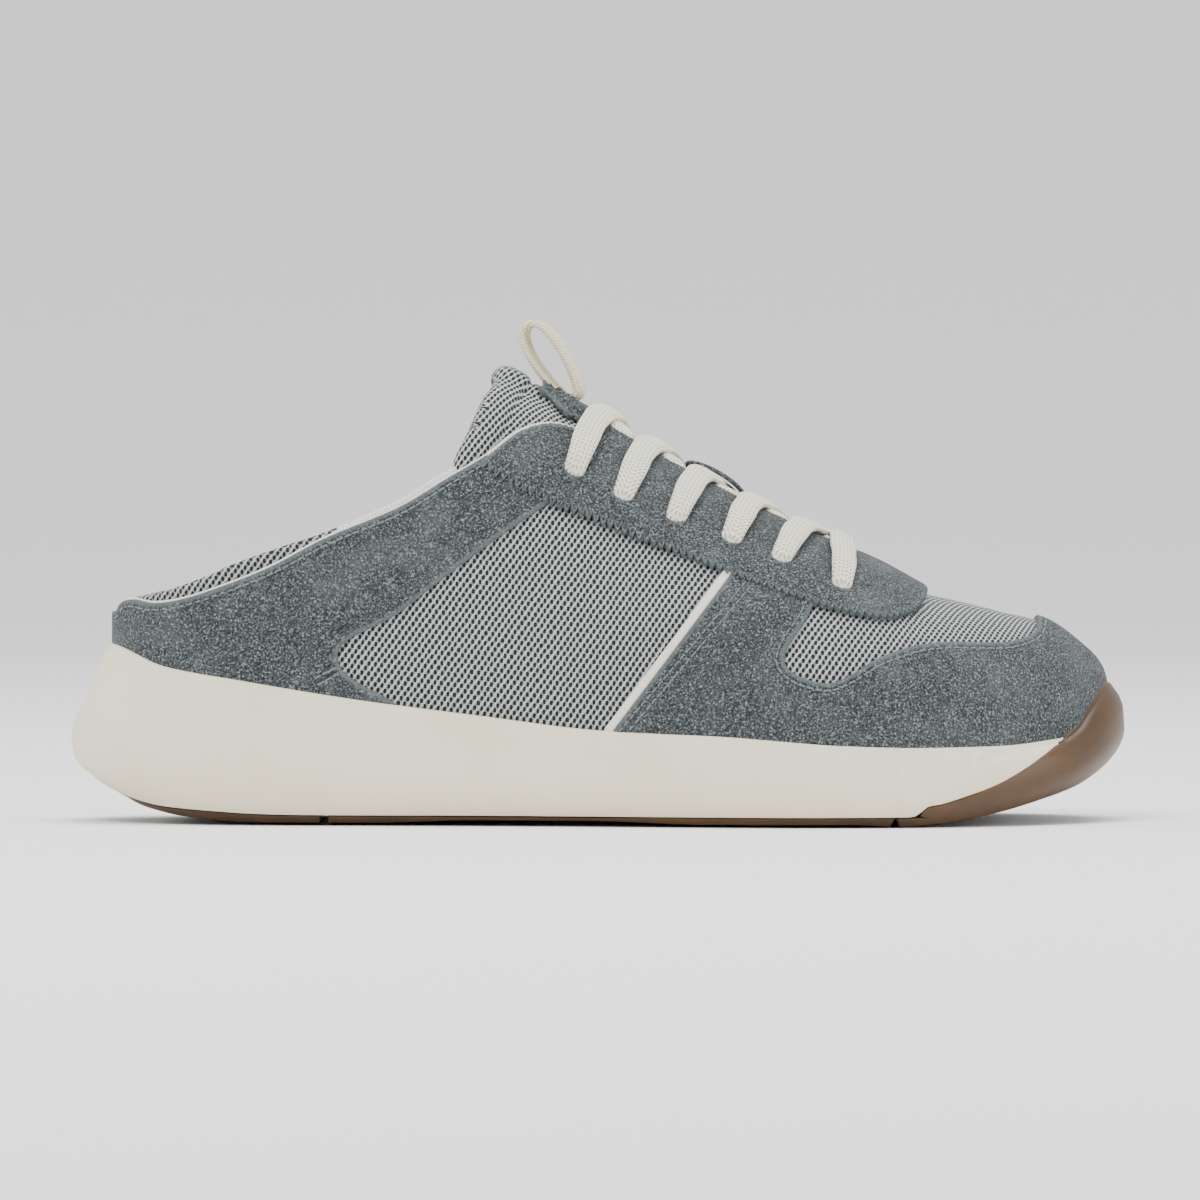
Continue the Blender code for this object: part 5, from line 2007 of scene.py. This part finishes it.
@dataclass
class Seams:
    """Rows of stitches on the suede, in metres."""

    last: Last
    outlines: Outlines
    trees: dict[str, BVHTree]
    radius: float = 0.00024
    pitch: float = 0.0023
    # Heights of the thread over the suede through one stitch and the gap after it
    heights: tuple[float, ...] = (0.00012, 0.00020, 0.00020, 0.00012, -0.00030, -0.00030)

    def rows(self) -> list[tuple[str, np.ndarray]]:
        """Draws the seams in the side view.

        Returns:
            The overlay and the line of each seam.
        """
        last = self.last
        window = smooth(last.side(TOE_WINDOW), 8)
        strip = last.side([(STRIP_FOOT[1], 0.02), (STRIP_HEAD[1], 0.52)])
        topline = self.outlines.topline
        topline = topline[(topline[:, 0] > -0.136) & (topline[:, 0] < -0.012)]
        seam = last.side([(0.458, 0.700), (0.400, 0.560), (0.300, 0.330), (0.232, 0.190), (0.190, 0.100)])
        seam = smooth(seam, 8)
        return [
            ("toe", parallel(window, -0.0020)),
            ("toe", parallel(strip, -0.0024)),
            ("toe", parallel(strip, -0.0042)),
            ("quarter", parallel(topline, -0.0018)),
            ("quarter", parallel(seam, 0.0062)),
            ("quarter", parallel(seam, 0.0080)),
        ]

    def build(self, wardrobe: Wardrobe) -> None:
        """Makes all the stitches.

        Args:
            wardrobe: The materials.
        """
        bm = bmesh.new()
        for overlay, line in self.rows():
            lengths = lengths_along(line)
            count = max(int(lengths[-1] / self.pitch), 1) * len(self.heights)
            line = resampled(line, lengths, np.linspace(0.0, lengths[-1], count + 1))
            for hand in Hand:
                self.sew(bm, self.trees[overlay], line, hand)
        piece = smooth_object("seams", bm, [wardrobe.thread])
        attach(piece, "root")

    def sew(self, bm: bmesh.types.BMesh, tree: BVHTree, line: np.ndarray, hand: Hand) -> None:
        """Sews one row of stitches.

        Args:
            bm: Mesh that takes the thread.
            tree: Surface it is sewn on.
            line: X and Z of the points of the row, six to a stitch.
            hand: Side of the shoe.
        """
        runs: list[list[Vector]] = [[]]
        for k, (x, z) in enumerate(line):
            start = Vector((x, hand.value * 0.2, z))
            place, normal, _, _ = tree.ray_cast(start, Vector((0.0, -hand.value, 0.0)))
            if place is None or normal.dot(Vector((0, hand.value, 0))) < 0.05:
                runs.append([])
                continue
            if runs[-1] and (place - runs[-1][-1]).length > 0.002:
                runs.append([])
            runs[-1].append(place + self.heights[k % len(self.heights)] * normal)
        for run in runs:
            if len(run) > 5:
                self.thread(bm, run)

    def thread(self, bm: bmesh.types.BMesh, run: list[Vector]) -> None:
        """Draws a thread.

        Args:
            bm: Mesh that takes it.
            run: Points it runs through.
        """
        sides = 6
        steps = len(run) - 1
        grid = bmesh.ops.create_grid(bm, x_segments=steps, y_segments=sides, size=0.5)["verts"]
        for vertex in grid:
            i = round((vertex.co.x + 0.5) * steps)
            angle = 2 * math.pi * (vertex.co.y + 0.5)
            forward = (run[min(i + 1, steps)] - run[max(i - 1, 0)]).normalized()
            aside = forward.orthogonal().normalized()
            up = forward.cross(aside)
            vertex.co = run[i] + self.radius * (aside * math.cos(angle) + up * math.sin(angle))
        bmesh.ops.remove_doubles(bm, verts=grid, dist=1e-6)


@dataclass
class Studio:
    """Pale floor, soft lamps and a long lens square to the shoe's lateral side."""

    aim: tuple[float, float, float] = (0.0004, 0.0, 0.0597)
    frame_width: float = 0.3248
    distance: float = 2.4
    elevation: float = math.radians(1.0)
    floor: float = 8.0
    paper: str = "#f4f4f4"

    def build(self) -> None:
        """Makes the floor, the lamps, the world and the camera."""
        self.build_floor()
        self.build_lamp("key softbox", (-0.6, -1.2, 1.5), 0.7, 22.0)
        self.build_lamp("top softbox", (0.3, 0.1, 1.8), 1.2, 30.0)
        self.build_lamp("toe softbox", (1.5, -0.6, 0.5), 0.6, 7.0)
        self.build_lamp("heel softbox", (-1.5, 0.3, 0.6), 0.6, 7.0)
        self.build_world()
        self.build_camera()

    def build_floor(self) -> None:
        """Makes the floor, which curves up to a wall far behind the shoe."""
        size = self.floor
        bm = bmesh.new()
        bmesh.ops.create_grid(bm, x_segments=1, y_segments=1, size=size)
        far = [edge for edge in bm.edges if all(vertex.co.y > 0 for vertex in edge.verts)]
        wall = bmesh.ops.extrude_edge_only(bm, edges=far)["geom"]
        wall = [item for item in wall if isinstance(item, bmesh.types.BMVert)]
        bmesh.ops.translate(bm, verts=wall, vec=(0.0, 0.0, size))
        bmesh.ops.bevel(
            bm,
            geom=far,
            offset=0.75 * size,
            offset_type="OFFSET",
            segments=24,
            profile=0.5,
            affect="EDGES",
            material=-1,
        )
        graph = Graph("pale studio paper", 0.9)
        graph.colour(self.paper)
        floor = smooth_object("studio floor", bm, [graph.material])

    def build_lamp(
        self, name: str, place: tuple[float, float, float], size: float, power: float
    ) -> None:
        """Makes a soft lamp that points at the shoe.

        Args:
            name: Name of the lamp.
            place: Where it stands.
            size: Side of its square.
            power: Power in watts.
        """
        light = bpy.data.lights.new(name, "AREA")
        light.size = size
        light.energy = power
        lamp = bpy.data.objects.new(name, light)
        lamp.location = place
        towards = Vector(self.aim) - Vector(place)
        lamp.rotation_euler = towards.to_track_quat("-Z", "Y").to_euler()
        bpy.context.scene.collection.objects.link(lamp)

    def build_world(self) -> None:
        """Makes the pale surroundings."""
        world = bpy.data.worlds.new("pale studio")
        world.use_nodes = True
        background = world.node_tree.nodes["Background"]
        background.inputs["Color"].default_value = linear("#ffffff")
        background.inputs["Strength"].default_value = 1.15
        bpy.context.scene.world = world

    def build_camera(self) -> None:
        """Makes the camera."""
        camera = bpy.data.cameras.new("camera")
        camera.sensor_width = 36.0
        camera.lens = 36.0 * self.distance / self.frame_width
        camera.clip_end = 50.0
        eye = bpy.data.objects.new("camera", camera)
        back = Vector((0.0, -math.cos(self.elevation), math.sin(self.elevation)))
        eye.location = Vector(self.aim) + back * self.distance
        eye.rotation_euler = (-back).to_track_quat("-Z", "Y").to_euler()
        bpy.context.scene.collection.objects.link(eye)
        bpy.context.scene.camera = eye


def main() -> None:
    """Builds the shoe and the studio, and reports the pieces."""
    logging.basicConfig(level=logging.INFO, format="%(message)s")
    last = Last()
    outlines = Outlines(last)
    wardrobe = Wardrobe()
    Sole(last).build(wardrobe)
    upper = Upper(last, outlines)
    upper.build(wardrobe)
    Tongue(last, outlines).build(wardrobe)
    Lace(last, outlines).build(wardrobe)
    Seams(last, outlines, upper.trees).build(wardrobe)
    Studio().build()


if __name__ == "__main__":
    main()
